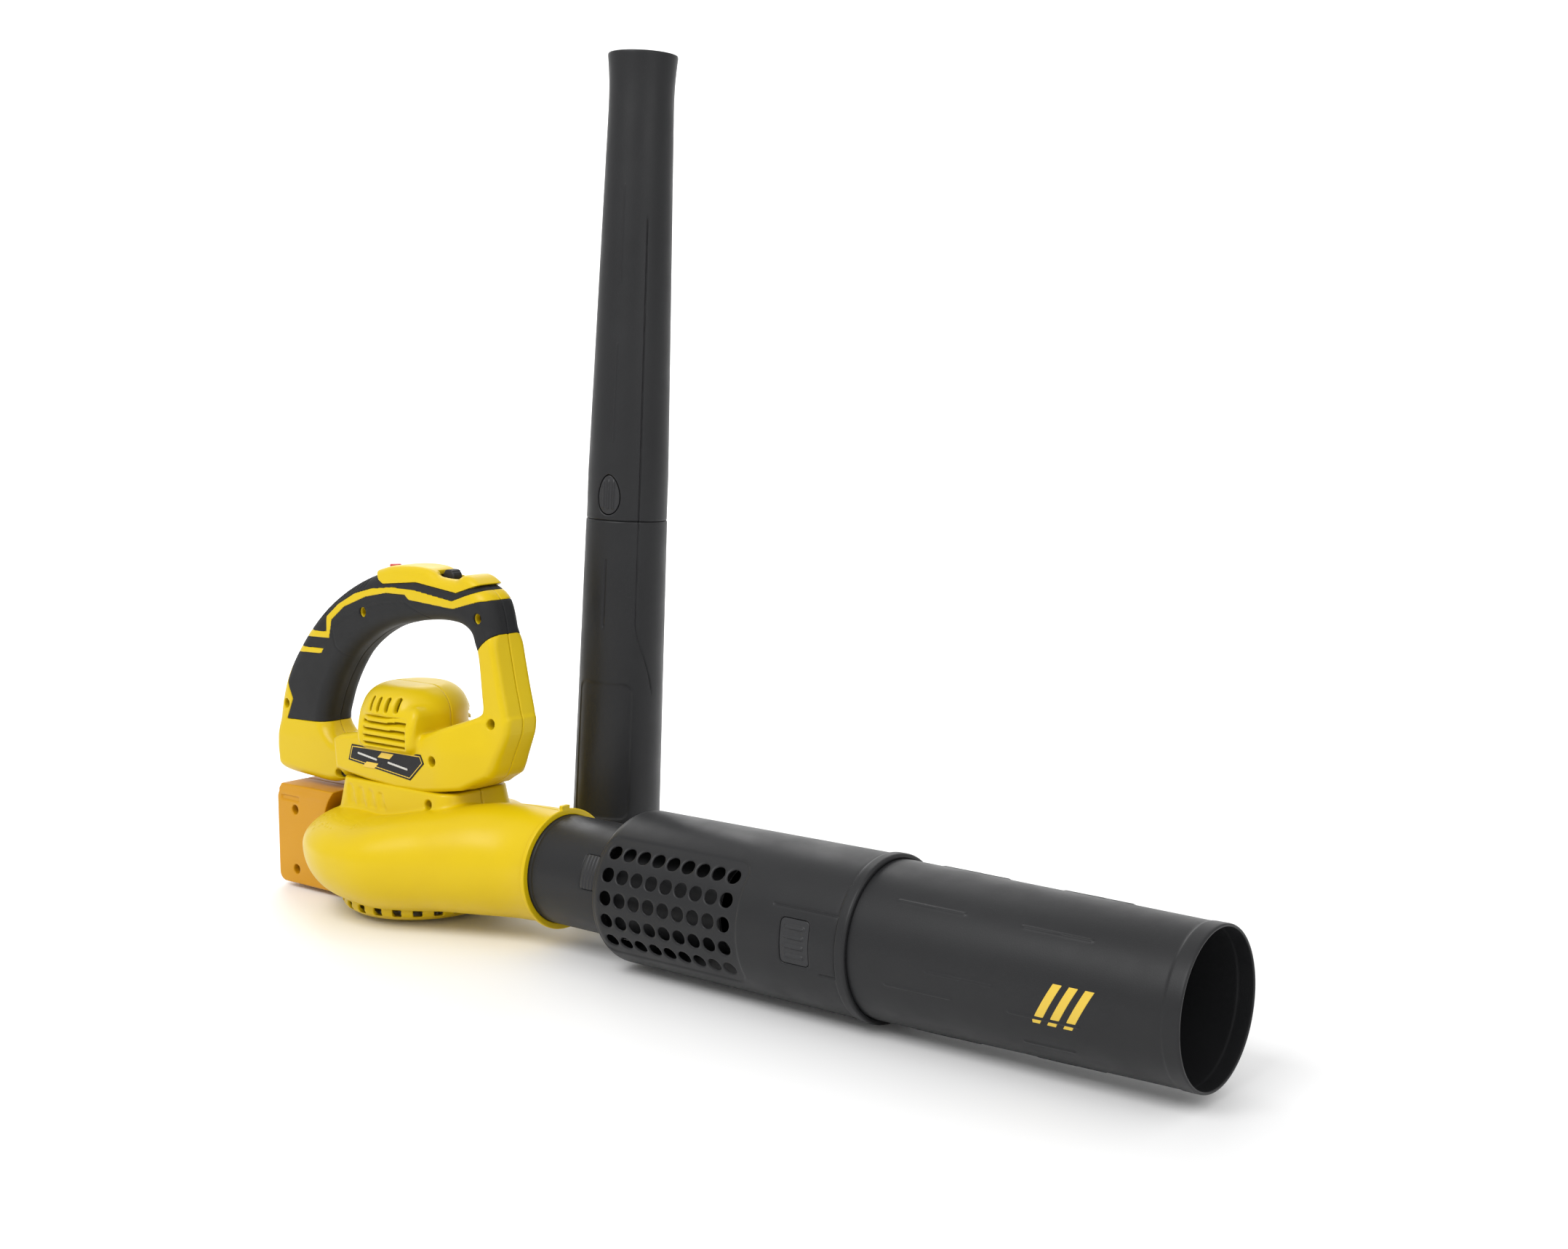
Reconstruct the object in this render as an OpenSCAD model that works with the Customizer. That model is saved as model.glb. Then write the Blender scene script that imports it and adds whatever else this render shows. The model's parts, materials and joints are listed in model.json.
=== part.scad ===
// Cordless hand-held leaf blower: fan scroll, D-handle housing, wide venturi tube and a loose narrow tube.
// Frame: origin on the floor under the fan axis, +X the way the air leaves, +Z up. Millimetres.

/* [Air path] */
// Height of the air axis over the floor, also the radius of the collar bead that rests on it
axis_z = 63; // [62.5:0.1:64]
// Distance from the fan axis to the outlet flange
flange_x = 181; // [178:1:186]
// Distance from the fan axis to the open end of the wide tube
outlet_x = 770; // [740:5:800]
// Outer radius of the neck that plugs into the flange
neck_r = 45.4; // [45:0.1:45.6]
// How far the neck reaches into the flange
neck_plug = 30; // [20:1:32]
// General wall of the blow-moulded tubes
tube_wall = 2.2; // [2:0.1:2.4]

/* [Venturi shell] */
// Outer radius of the perforated shell
shell_r = 61.4; // [61:0.1:61.8]
// Rear end of the shell
shell_x0 = 262; // [258:1:264]
// Front end of the shell
shell_x1 = 514; // [508:1:520]
// Radius of the rounded rear shoulder
shoulder_r = 12; // [8:1:14]
// Radius of each air hole
hole_r = 5.7; // [5:0.1:6]
// Distance between hole columns
hole_pitch = 15; // [14:0.1:15.2]
// Angle between hole rows
hole_step = 17.6; // [16:0.1:18]
// Angle of the middle row above the horizontal
hole_mid = 4; // [0:0.5:6]
// Position of the first hole column
hole_x0 = 281; // [280:0.5:284]
// Rear end of the front tube inside the shell
spigot_x = 440; // [436:1:444]

/* [Narrow tube] */
// Radius of the narrow tube at the foot
narrow_foot_r = 39; // [38:0.5:40]
// Radius of the narrow tube at its joint
narrow_mid_r = 34.6; // [34.4:0.1:35.5]
// Radius of the narrow tube at its top
narrow_top_r = 27.2; // [26.5:0.1:28.5]
// Height of the joint between the two narrow pieces
narrow_joint_z = 346; // [336:1:352]
// Total length of the narrow tube
narrow_len = 738; // [700:1:760]
// Lean of the standing narrow tube from the vertical
narrow_lean = 2.6; // [0:0.1:2.8]

/* [Scroll and housing] */
// Radius of the scroll centre line round the fan axis
scroll_path_r = 56; // [55:0.5:57]
// Outer radius of the scroll section
scroll_tube_r = 47; // [46.8:0.1:47.4]
// Wall of the yellow mouldings
wall = 2.6; // [2.4:0.1:2.8]
// Half thickness of the handle
grip_hw = 19; // [18:0.5:20]
// Thickness of the soft overmould
skin = 2.4; // [2:0.1:2.6]
// Radius of the impeller
fan_r = 50; // [46:0.5:51]
// Number of impeller blades
blade_count = 12; // [10:1:14]
// Travel of the speed slider
slider_travel = 8; // [4:0.5:8]
// Radius of the screw head recess
recess_r = 4.4; // [4.2:0.1:4.6]

/* [Hidden] */
eps = 0.02;
gap = 0.3;
$fn = 96;
chain_fn = 32;
side_fn = 24;
// Parting gap on each side of the middle plane
half_gap = 0.05;
span = 1400;
// Handle loop stations: x, z, radius in the side view, half thickness
loop_pts = [[-72, 127, 22, 26], [-112, 125, 20, 21], [-150, 138, 29, grip_hw], [-142, 162, 34, grip_hw],
    [-129, 196, 33, grip_hw], [-104, 230, 28, grip_hw], [-76, 252, 25, grip_hw], [-42, 269, 24.5, grip_hw],
    [-7, 280, 25, grip_hw], [28, 281, 23, grip_hw], [68, 279, 21, grip_hw], [95, 269, 20, grip_hw],
    [107, 240, 12.5, grip_hw], [112, 212, 13.5, grip_hw], [115, 183, 17, 20], [98, 160, 19, 26]];
// Motor block stations under the handle
block_pts = [[-60, 134, 16, 37], [20, 137, 21, 37], [70, 146, 22, 34], [98, 160, 19, 26]];
chamfer = 7;
// Side outline of the soft grip zone
grip_zone_pts = [[-195, 158], [-100, 158], [-60, 205], [60, 205], [89, 236], [104, 252], [140, 262],
    [140, 320], [-195, 320]];
// Side outline of the yellow control pod
pod_pts = [[-34, 286], [-40, 300], [-12, 306.6], [10, 308], [36, 305.6], [46, 298.4], [70, 298.4],
    [78, 303.4], [100, 295], [112, 284], [64, 281]];
pod_hw = 15.5;
dome_r = 47;
dome_top = 203;
dome_x = -4;
dome_edge = 22;
dome_foot_z = 150;
block_split_z = 117;
pedestal_x0 = -66;
pedestal_x1 = 78;
pedestal_hw = 38;
pedestal_r = 14;
plate_hh = 40;
intake_r = 47;
dish_top_z = 25;
dish_r = 70;
foot_r = 30;
// The duct leaves the ring on a tangent and bends into the air axis
bend_mid_x = 145;
bend_half = 22;
duct_angle = asin(scroll_path_r / bend_mid_x);
bend_x1 = bend_mid_x + bend_half;
bend_r = bend_half / tan(duct_angle / 2);
// Growth of the duct radius at each station over the ring radius
duct_grow = [0.31, 0.53, 0.63, 0.73, 0.83, 1.5];
// Side outline that the scroll stays under: low round the fan, rising to the flange
scroll_top_z = 92;
scroll_top_pts = [[-120, -10], [200, -10], [200, 120], [118, 112], [0, scroll_top_z], [-120, scroll_top_z]];
// Outline of the side plates
label_pts = [[-47, 147.6], [44, 148.6], [48, 141], [30, 124.4], [-52, 133]];
label_y = 37.5;
label_t = 0.8;
// Screw positions in the side view: x, z, how far the head sits from the middle plane
screw_pts = [[-50, 263, 12], [98, 268, 12], [-162, 170, 12], [113, 180, 12], [57, 144, 26], [-88, 113, 14],
    [54, 106, 30], [-140, 74, 14], [-140, 18, 14]];
screw_r = 1.6;
head_r = 3.6;
head_h = 2.4;
screw_len = 22;
pilot_depth = screw_len + 4;
boss_r = 6.6;
receptacle_x0 = -166;
receptacle_x1 = -84;
receptacle_z0 = 4;
receptacle_z1 = 92;
receptacle_hw = 30;
wing_h = 5;
wing_x0 = -163;
receptacle_r = 10;
slot_hw = 23;
slot_z0 = 23;
slot_z1 = 68;
slot_x1 = -125;
rail_h = 7;
rail_depth = 4;
terminal_z = 45.5;
terminal_size = [21, 25, 29];
blade_l = 44;
blade_t = 1.2;
blade_h = 14;
blade_step = 8;
slider_mid_x = 52;
slider_slot_l = 34;
button_x = -26;
button_r = 5;
outlet_bore_r = 53.5;
shaft_r = 4;
bearing_fit = 0.03;
bearing_r = 8;
motor_r = 24;
motor_z0 = 112;
motor_z1 = 178;
hub_r = 9;
fan_z0 = 42;
fan_z1 = 86;
lip_w = 9;
neck_x0 = flange_x - neck_plug;
nozzle_x1 = 378;
nozzle_r = 37;
fit = 0.06;
latch_mid_angle = 3;
wide_latch_x = 468;
wide_latch_l = 26;
wide_latch_w = 34;
neck_latch_x = 247;
neck_latch_angle = 21;
neck_latch_l = 15;
neck_latch_w = 28;
narrow_base = [138, 100];
narrow_dir = 38.4;
narrow_plug = 54;
narrow_latch_z = 368;
narrow_latch_h = 34;
narrow_latch_w = 21;
narrow_latch_dir = -76;

// Turns a solid drawn along z into one along the air axis
module along_x(x) {
    translate([x, 0, axis_z])
        rotate([0, 90, 0])
            children();
}

// Keeps one side of the middle plane: -1 is the left half, +1 the right half
module half(side) {
    intersection() {
        children();
        translate([-span / 2, side < 0 ? -span : half_gap, -span / 2])
            cube([span, span - (side < 0 ? half_gap : 0), span]);
    }
}

// A flat disc in the side view with chamfered edges
module side_disc(p, inset) {
    r = p[2] - inset;
    hw = p[3] - inset;
    c = min(chamfer, r - 1);
    translate([p[0], 0, p[1]])
        rotate([90, 0, 0]) {
            cylinder(r = r - c, h = 2 * hw, center = true, $fn = side_fn);
            cylinder(r = r - c * 0.3, h = 2 * (hw - c * 0.3), center = true, $fn = side_fn);
            cylinder(r = r, h = 2 * (hw - c), center = true, $fn = side_fn);
        }
}

// Chain of hulls through a list of stations
module chain(pts, inset) {
    for (i = [0:len(pts) - 2])
        hull() {
            side_disc(pts[i], inset);
            side_disc(pts[i + 1], inset);
        }
}

module side_plate(pts, hw, grow) {
    rotate([90, 0, 0])
        linear_extrude(height = 2 * hw, center = true)
            offset(delta = grow)
                polygon(pts);
}

module grip_zone(grow) {
    side_plate(grip_zone_pts, 2 * grip_hw, grow);
}

module pod_zone(grow) {
    intersection() {
        side_plate(pod_pts, pod_hw + grow, grow);
        union() {
            chain([for (i = [7:11]) [loop_pts[i][0], loop_pts[i][1] + 2, loop_pts[i][2], loop_pts[i][3]]], -grow);
        }
    }
}

module dome(inset) {
    translate([dome_x, 0, 0])
        hull() {
            translate([0, 0, dome_foot_z])
                cylinder(r = dome_r - inset, h = 10, $fn = 48);
            translate([0, 0, dome_top - dome_edge])
                rotate_extrude($fn = 48)
                    translate([dome_r - dome_edge, 0])
                        intersection() {
                            circle(r = dome_edge - inset, $fn = 32);
                            translate([-dome_edge, 0])
                                square([2 * dome_edge, dome_edge]);
                        }
        }
}

module housing_body(inset) {
    chain(loop_pts, inset);
    chain(block_pts, inset);
    dome(inset);
}

// Room over the pod for the thumb on the slider
module slider_notch() {
    translate([62, 0, 315])
        cube([46, 60, 36], center = true);
}

// Screw bosses, recesses and pilot holes along y
module screw_bosses(first, last) {
    for (i = [first:last])
        translate([screw_pts[i][0], 0, screw_pts[i][1]])
            rotate([90, 0, 0])
                cylinder(r = boss_r, h = 80, center = true, $fn = side_fn);
}

module screw_holes(first, last) {
    for (i = [first:last])
        translate([screw_pts[i][0], 0, screw_pts[i][1]])
            rotate([90, 0, 0]) {
                translate([0, 0, screw_pts[i][2] - head_h - gap])
                    cylinder(r = recess_r, h = 60, $fn = side_fn);
                translate([0, 0, screw_pts[i][2] - pilot_depth])
                    cylinder(r = screw_r + eps, h = pilot_depth, $fn = side_fn);
            }
}

module louvres() {
    // Vertical slots over horizontal louvres on both cheeks of the dome
    for (side = [-1, 1])
        for (i = [0:3])
            translate([dome_x - 19 + i * 9, side * 44, 183])
                cube([3.4, 30, 11], center = true);
    for (side = [-1, 1])
        for (i = [0:3])
            translate([dome_x - 6, side * 48, 156 + i * 5.6])
                cube([42, 34, 2.6], center = true);
}

module housing_half(side) {
    half(side)
        difference() {
            union() {
                difference() {
                    housing_body(0);
                    difference() {
                        grip_zone(gap);
                        chain(loop_pts, skin + gap);
                    }
                    housing_body(skin + wall + gap);
                    intersection() {
                        dome(wall);
                        translate([-span / 2, -span / 2, dome_foot_z])
                            cube(span);
                    }
                    translate([0, 0, motor_z0 - 10])
                        cylinder(r = motor_r + 5, h = 40);
                    louvres();
                }
                intersection() {
                    housing_body(skin + gap + 1);
                    screw_bosses(0, 5);
                }
            }
            screw_holes(0, 5);
            pod_zone(gap);
            slider_notch();
            translate([16, 0, 277])
                cube([112, 18, 24], center = true);
            translate([dome_x, 0, motor_z0 - 10])
                cylinder(r = motor_r + 3, h = 72);
            translate([-span / 2, -span / 2, -span + block_split_z + gap])
                intersection() {
                    cube([span, span, span]);
                    translate([span / 2 - 78, 0, 0])
                        cube([180, span, span]);
                }
            scroll_body(-gap);
            pedestal(-gap);
        }
}

module scroll_disc(p, a, r) {
    translate([p[0], p[1], axis_z])
        rotate([0, 0, a])
            rotate([0, 90, 0])
                cylinder(r = r, h = 0.2, center = true, $fn = chain_fn);
}

// Swept round section: a ring round the fan axis, a straight run, then a turn into the flange
module scroll_sweep(inset) {
    ring_r = scroll_tube_r - inset;
    translate([0, 0, axis_z])
        rotate_extrude($fn = 64)
            translate([scroll_path_r, 0])
                circle(r = ring_r, $fn = chain_fn);
    translate([0, 0, axis_z - plate_hh + inset])
        cylinder(r = scroll_path_r, h = 2 * (plate_hh - inset), $fn = 64);
    path = concat([[scroll_path_r * sin(duct_angle), -scroll_path_r * cos(duct_angle), duct_angle]],
        [for (k = [3:-1:0]) [bend_x1 - bend_r * sin(duct_angle * k / 3),
            -bend_r * (1 - cos(duct_angle * k / 3)), duct_angle * k / 3]],
        [[flange_x - (inset > 0 ? -1 : 4), 0, 0]]);
    for (i = [0:len(path) - 2])
        hull() {
            scroll_disc(path[i], path[i][2], ring_r + duct_grow[i]);
            scroll_disc(path[i + 1], path[i + 1][2], ring_r + duct_grow[i + 1]);
        }
}

module scroll_body(inset) {
    intersection() {
        scroll_sweep(inset);
        side_plate(scroll_top_pts, 120, -inset);
    }
}

module pedestal(inset) {
    hull()
        for (x = [pedestal_x0 + pedestal_r, pedestal_x1 - pedestal_r])
            for (y = [-pedestal_hw + pedestal_r, pedestal_hw - pedestal_r]) {
                translate([x, y, block_split_z - 1 - min(inset, 0)])
                    cylinder(r = pedestal_r - inset, h = 1, $fn = side_fn);
                translate([x * 1.08, y * 1.2, axis_z + 10])
                    cylinder(r = pedestal_r - inset, h = 1, $fn = side_fn);
            }
}

module scroll_half(side) {
    half(side)
        difference() {
            union() {
                scroll_body(0);
                pedestal(0);
            }
            scroll_body(wall);
            difference() {
                pedestal(wall + 0.6);
                translate([-span / 2, -span / 2, -span + scroll_top_z])
                    cube(span);
                intersection() {
                    pedestal(0);
                    screw_bosses(6, 6);
                }
            }
            translate([0, 0, axis_z])
                cylinder(r = motor_r + 4, h = span);
            translate([0, 0, -eps])
                cylinder(r = intake_r, h = axis_z);
            cylinder(r = dish_r + gap, h = dish_top_z);
            screw_holes(6, 6);
            along_x(neck_x0 - gap)
                cylinder(r = neck_r + fit, h = neck_plug + 10);
            along_x(flange_x - 4 - gap)
                cylinder(r = shell_r, h = 10);
        }
}

module grip_half(side) {
    half(side)
        difference() {
            intersection() {
                chain(loop_pts, 0);
                grip_zone(0);
            }
            chain(loop_pts, skin);
            pod_zone(gap);
            screw_holes(0, 5);
            slider_notch();
        }
}

module control_pod() {
    color("gold")
        difference() {
            pod_zone(0);
            translate([-10.5, 0, 280])
                cube([45, 2 * (pod_hw - wall), 34], center = true);
            translate([slider_mid_x, 0, 290])
                cube([slider_slot_l, 15, 60], center = true);
            translate([button_x, 0, 290])
                cylinder(r = button_r + gap, h = 40);
        }
}
module scroll_left() {
    color("gold")
        scroll_half(-1);
}

module scroll_right() {
    color("gold")
        scroll_half(1);
}

module housing_left() {
    color("gold")
        housing_half(-1);
}

module housing_right() {
    color("gold")
        housing_half(1);
}

module grip_left() {
    color("dimgray")
        grip_half(-1);
}

module grip_right() {
    color("dimgray")
        grip_half(1);
}

module speed_slider() {
    color("dimgray")
        translate([slider_mid_x - slider_travel / 2, 0, 0]) {
            translate([0, 0, 289])
                cube([10, 12, 16], center = true);
            translate([0, 0, 299.5])
                rotate([90, 0, 0])
                    intersection() {
                        cylinder(r = 7, h = 12, center = true);
                        cube([20, 9, 20], center = true);
                    }
        }
}

module boost_button() {
    color("firebrick")
        translate([button_x, 0, 0]) {
            translate([0, 0, 293])
                cylinder(r = button_r, h = 13.4);
            translate([0, 0, 292])
                cylinder(r = button_r + 1.2, h = 2);
        }
}

module boost_spring() {
    color("silver")
        for (i = [0:4])
            translate([button_x, 0, 283.4 + i * 1.7])
                rotate_extrude()
                    translate([3.6, 0])
                        circle(r = 0.7, $fn = 16);
}

module switch_module() {
    color("black") {
        translate([slider_mid_x - 2, 0, 272.5])
            cube([36, 14, 15], center = true);
        translate([button_x, 0, 278])
            cube([20, 16, 9], center = true);
    }
}

// Shallow intake dish with slots round its rim
module intake_dish() {
    color("gold")
        difference() {
            union() {
                rotate_extrude()
                    polygon([[0, 0], [foot_r, 0], [dish_r - 8, 5], [dish_r, 12], [dish_r, dish_top_z - gap],
                        [dish_r - wall, dish_top_z - gap], [dish_r - wall, 13], [dish_r - 9, 7.6],
                        [foot_r, wall], [0, wall]]);
            }
            for (i = [0:23])
                rotate([0, 0, i * 15])
                    translate([dish_r - 2, 0, 12])
                        cube([22, 8, 7], center = true);
            for (i = [0:11])
                rotate([0, 0, i * 30])
                    translate([38, 0, 2])
                        cube([18, 5, 12], center = true);
        }
}

module impeller() {
    color("dimgray")
        difference() {
            union() {
                translate([0, 0, fan_z1 - 2.4])
                    cylinder(r = fan_r, h = 2.4);
                translate([0, 0, fan_z0 + 4])
                    cylinder(r = hub_r, h = fan_z1 - fan_z0 - 4);
                for (i = [0:blade_count - 1])
                    rotate([0, 0, i * 360 / blade_count])
                        translate([fan_r * 0.62, -6, fan_z0 + 2])
                            rotate([0, 0, 32])
                                translate([-fan_r * 0.30, 0, 0])
                                    cube([fan_r * 0.62, 1.8, fan_z1 - fan_z0 - 4]);
                translate([0, 0, fan_z0])
                    difference() {
                        cylinder(r = fan_r, h = 2.4);
                        translate([0, 0, -eps])
                            cylinder(r = fan_r * 0.68, h = 3);
                    }
            }
            cylinder(r = shaft_r, h = span);
        }
}

module rotor_shaft() {
    color("silver")
        translate([0, 0, fan_z0 + 6])
            cylinder(r = shaft_r, h = motor_z1 + 8 - fan_z0 - 6);
}

module rotor_core() {
    color("silver")
        translate([0, 0, motor_z0 + 14])
            difference() {
                cylinder(r = 15, h = 40);
                translate([0, 0, -eps])
                    cylinder(r = shaft_r, h = 41);
                for (i = [0:6])
                    rotate([0, 0, i * 360 / 7])
                        translate([15, 0, 20])
                            cube([6, 3, 41], center = true);
            }
}

// Open-ended can that carries the magnets and the lower bearing
module motor_can() {
    color("silver")
        translate([0, 0, motor_z0])
            difference() {
                cylinder(r = motor_r, h = motor_z1 - motor_z0);
                translate([0, 0, 10])
                    cylinder(r = motor_r - 7, h = span);
                translate([0, 0, -eps])
                    cylinder(r = bearing_r, h = 12);
            }
}

module motor_cap() {
    color("black")
        translate([0, 0, motor_z1])
            difference() {
                union() {
                    cylinder(r = motor_r, h = 3);
                    cylinder(r = bearing_r + 4, h = 8);
                }
                translate([0, 0, -eps])
                    cylinder(r = bearing_r, h = 9);
            }
}

module bearings() {
    color("silver")
        for (z = [motor_z0 + 2, motor_z1 + 1])
            translate([0, 0, z])
                difference() {
                    cylinder(r = bearing_r, h = 6);
                    translate([0, 0, -eps])
                        cylinder(r = shaft_r + bearing_fit, h = 7);
                }
}

module motor_plate() {
    color("silver")
        translate([0, 0, motor_z0 - 3])
            difference() {
                cylinder(r = motor_r + 2, h = 3);
                translate([0, 0, -eps])
                    cylinder(r = bearing_r - 1, h = 4);
            }
}

module controller_board() {
    color("darkgreen") {
        translate([-62, 0, 126])
            cube([34, 30, 1.6], center = true);
        for (i = [0:2])
            translate([-72 + i * 9, 6, 129.8])
                cube([6, 8, 6], center = true);
        translate([-60, -8, 131.8])
            cylinder(r = 5, h = 10, center = true);
    }
}

// Outer block of the battery receptacle
module receptacle_envelope(grow) {
    l = receptacle_x1 - receptacle_x0 + 2 * grow;
    h = receptacle_z1 - receptacle_z0 + 2 * grow;
    rr = receptacle_r;
    translate([receptacle_x0 - grow, 0, receptacle_z0 - grow])
        rotate([90, 0, 0])
            linear_extrude(height = 2 * (receptacle_hw + grow), center = true) {
                translate([rr, 0])
                    square([l - rr, h]);
                translate([0, rr])
                    square([l, h - rr]);
                translate([rr, rr])
                    circle(r = rr);
            }
}

// Two-part block with the slot for the battery, seated on the ring of the scroll
module receptacle_half(side) {
    color("orange")
        half(side)
            difference() {
                union() {
                    receptacle_envelope(0);
                    translate([wing_x0, -receptacle_hw, receptacle_z1 - eps])
                        cube([receptacle_x1 - wing_x0, 2 * receptacle_hw, wing_h]);
                }
                translate([receptacle_x0 - eps, -slot_hw, slot_z0])
                    cube([slot_x1 - receptacle_x0, 2 * slot_hw, slot_z1 - slot_z0]);
                translate([receptacle_x0 - eps, -slot_hw - rail_depth, terminal_z - rail_h / 2])
                    cube([slot_x1 - receptacle_x0, 2 * (slot_hw + rail_depth), rail_h]);
                translate([0, 0, axis_z])
                    rotate_extrude()
                        translate([scroll_path_r, 0])
                            circle(r = scroll_tube_r + gap);
                translate([slot_x1 + 1, 0, terminal_z])
                    cube([6, terminal_size[1] + 1, terminal_size[2] + 1], center = true);
                screw_holes(7, 8);
            }
}

module receptacle_left() {
    receptacle_half(-1);
}

module receptacle_right() {
    receptacle_half(1);
}

module terminal_block() {
    color("black")
        translate([slot_x1 - 7.5, 0, terminal_z])
            difference() {
                cube(terminal_size, center = true);
                for (i = [-1:1])
                    translate([0, i * blade_step, 0])
                        cube([terminal_size[0] + 1, blade_t + 2 * eps, blade_h + 2 * eps], center = true);
            }
}

module contact_blades() {
    color("silver")
        for (i = [-1:1])
            translate([slot_x1 - 25, i * blade_step, terminal_z])
                cube([blade_l, blade_t, blade_h], center = true);
}

module screws() {
    color("dimgray")
        for (p = screw_pts)
            translate([p[0], 0, p[1]])
                rotate([90, 0, 0]) {
                    translate([0, 0, p[2] - head_h])
                        cylinder(r = head_r, h = head_h, $fn = side_fn);
                    translate([0, 0, p[2] - screw_len])
                        cylinder(r = screw_r, h = screw_len - head_h, $fn = side_fn);
                }
}

module outlet_flange() {
    color("gold")
        along_x(flange_x - 4) {
            difference() {
                cylinder(r = scroll_tube_r + 3.6, h = 4);
                translate([0, 0, -eps])
                    cylinder(r = neck_r + fit, h = 5);
            }
            translate([scroll_tube_r + 2, -5, 0])
                cube([4, 10, 9]);
        }
}

module shell_slot(r, x, l, w, a) {
    rotate([0, 0, -90 - a])
        translate([r, 0, x])
            cube([14, w, l], center = true);
}

module shell_piece(r0, r1, x, l, w, a) {
    along_x(0)
        intersection() {
            translate([0, 0, x - l / 2])
                difference() {
                    cylinder(r = r1, h = l);
                    translate([0, 0, -eps])
                        cylinder(r = r0, h = l + 1);
                }
            shell_slot((r0 + r1) / 2, x, l, w, a);
        }
}

// Neck with the tapering inner nozzle
module neck_tube() {
    color("dimgray")
        along_x(0)
            difference() {
                rotate_extrude()
                    polygon([[neck_r - tube_wall, neck_x0], [neck_r, neck_x0], [neck_r, shell_x0 + 20],
                        [nozzle_r, nozzle_x1], [nozzle_r - tube_wall, nozzle_x1],
                        [neck_r - tube_wall, shell_x0 + 20]]);
                shell_slot(neck_r, neck_latch_x, neck_latch_l + 2 * gap, neck_latch_w + 2 * gap, neck_latch_angle);
            }
}

module neck_latch() {
    color("gray")
        shell_piece(neck_r - tube_wall, neck_r + 0.8, neck_latch_x, neck_latch_l, neck_latch_w, neck_latch_angle);
}

module air_holes() {
    for (i = [0:8])
        for (j = [-2:2])
            for (side = [-1, 1])
                rotate([0, 0, side * (90 + hole_mid + j * hole_step)])
                    translate([shell_r - 12, 0, hole_x0 + i * hole_pitch])
                        rotate([0, 90, 0])
                            cylinder(r = hole_r, h = 24, $fn = side_fn);
}

module shell_outline(r, x) {
    c = shoulder_r - (shell_r - r);
    translate([0, x])
        square([r - c, shell_x1 - x]);
    translate([0, x + c])
        square([r, shell_x1 - x - c]);
    translate([r - c, x + c])
        circle(r = c);
}

module venturi_shell() {
    color("dimgray")
        along_x(0)
            difference() {
                rotate_extrude()
                    difference() {
                        union() {
                            shell_outline(shell_r, shell_x0);
                            translate([0, shell_x1 - lip_w])
                                square([axis_z, lip_w]);
                        }
                        shell_outline(shell_r - tube_wall - 0.2, shell_x0 + tube_wall);
                        translate([0, shell_x1 - eps])
                            square([shell_r - tube_wall - 0.2, 1]);
                        translate([0, shell_x0 - 1])
                            square([neck_r + fit, 20]);
                    }
                air_holes();
                shell_slot(shell_r, wide_latch_x, wide_latch_l + 2 * gap, wide_latch_w + 2 * gap, latch_mid_angle);
            }
}

module wide_latch() {
    color("gray")
        shell_piece(shell_r - 2.2, shell_r + 0.8, wide_latch_x, wide_latch_l, wide_latch_w, latch_mid_angle);
}

module wide_latch_spring() {
    color("silver")
        shell_piece(shell_r - 4.1, shell_r - 3.7, wide_latch_x, wide_latch_l - 6, 8, latch_mid_angle);
}

module front_tube() {
    r0 = shell_r - tube_wall - 0.2 - fit;
    r1 = r0 - 3.6;
    color("dimgray")
        along_x(0)
            difference() {
                rotate_extrude()
                    polygon([[r0 - tube_wall, spigot_x], [r0, spigot_x], [r0, shell_x1 + 4], [r1, outlet_x - 13],
                        [r1 + 0.5, outlet_x - 12], [r1 + 0.5, outlet_x], [outlet_bore_r, outlet_x],
                        [outlet_bore_r, outlet_x - 12], [r1 - tube_wall, outlet_x - 13],
                        [r0 - tube_wall, shell_x1 + 4]]);
                rotate([0, 0, -90 - latch_mid_angle])
                    translate([r0, 0, spigot_x + 25])
                        cube([24, wide_latch_w + 12, 56], center = true);
            }
}

module narrow_frame() {
    translate([narrow_base[0], narrow_base[1], narrow_foot_r * sin(narrow_lean)])
        rotate([0, 0, narrow_dir])
            rotate([0, narrow_lean, 0])
                children();
}

module narrow_slot(grow) {
    rotate([0, 0, narrow_latch_dir - narrow_dir])
        translate([narrow_mid_r, 0, narrow_latch_z])
            cube([16, narrow_latch_w + grow, narrow_latch_h + grow], center = true);
}

module narrow_lower() {
    spigot_r = narrow_mid_r - tube_wall - fit;
    color("dimgray")
        narrow_frame()
            difference() {
                rotate_extrude()
                    polygon([[narrow_foot_r - tube_wall, 0], [narrow_foot_r, 0], [narrow_foot_r, 12],
                        [narrow_mid_r + 0.4, narrow_joint_z], [spigot_r, narrow_joint_z],
                        [spigot_r, narrow_joint_z + narrow_plug], [spigot_r - tube_wall, narrow_joint_z + narrow_plug],
                        [spigot_r - tube_wall, narrow_joint_z - 8], [narrow_foot_r - tube_wall, 12]]);
                rotate([0, 0, narrow_latch_dir - narrow_dir])
                    translate([narrow_mid_r, 0, narrow_joint_z + 2 + 30])
                        cube([16, narrow_latch_w + 6, 60], center = true);
            }
}

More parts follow.
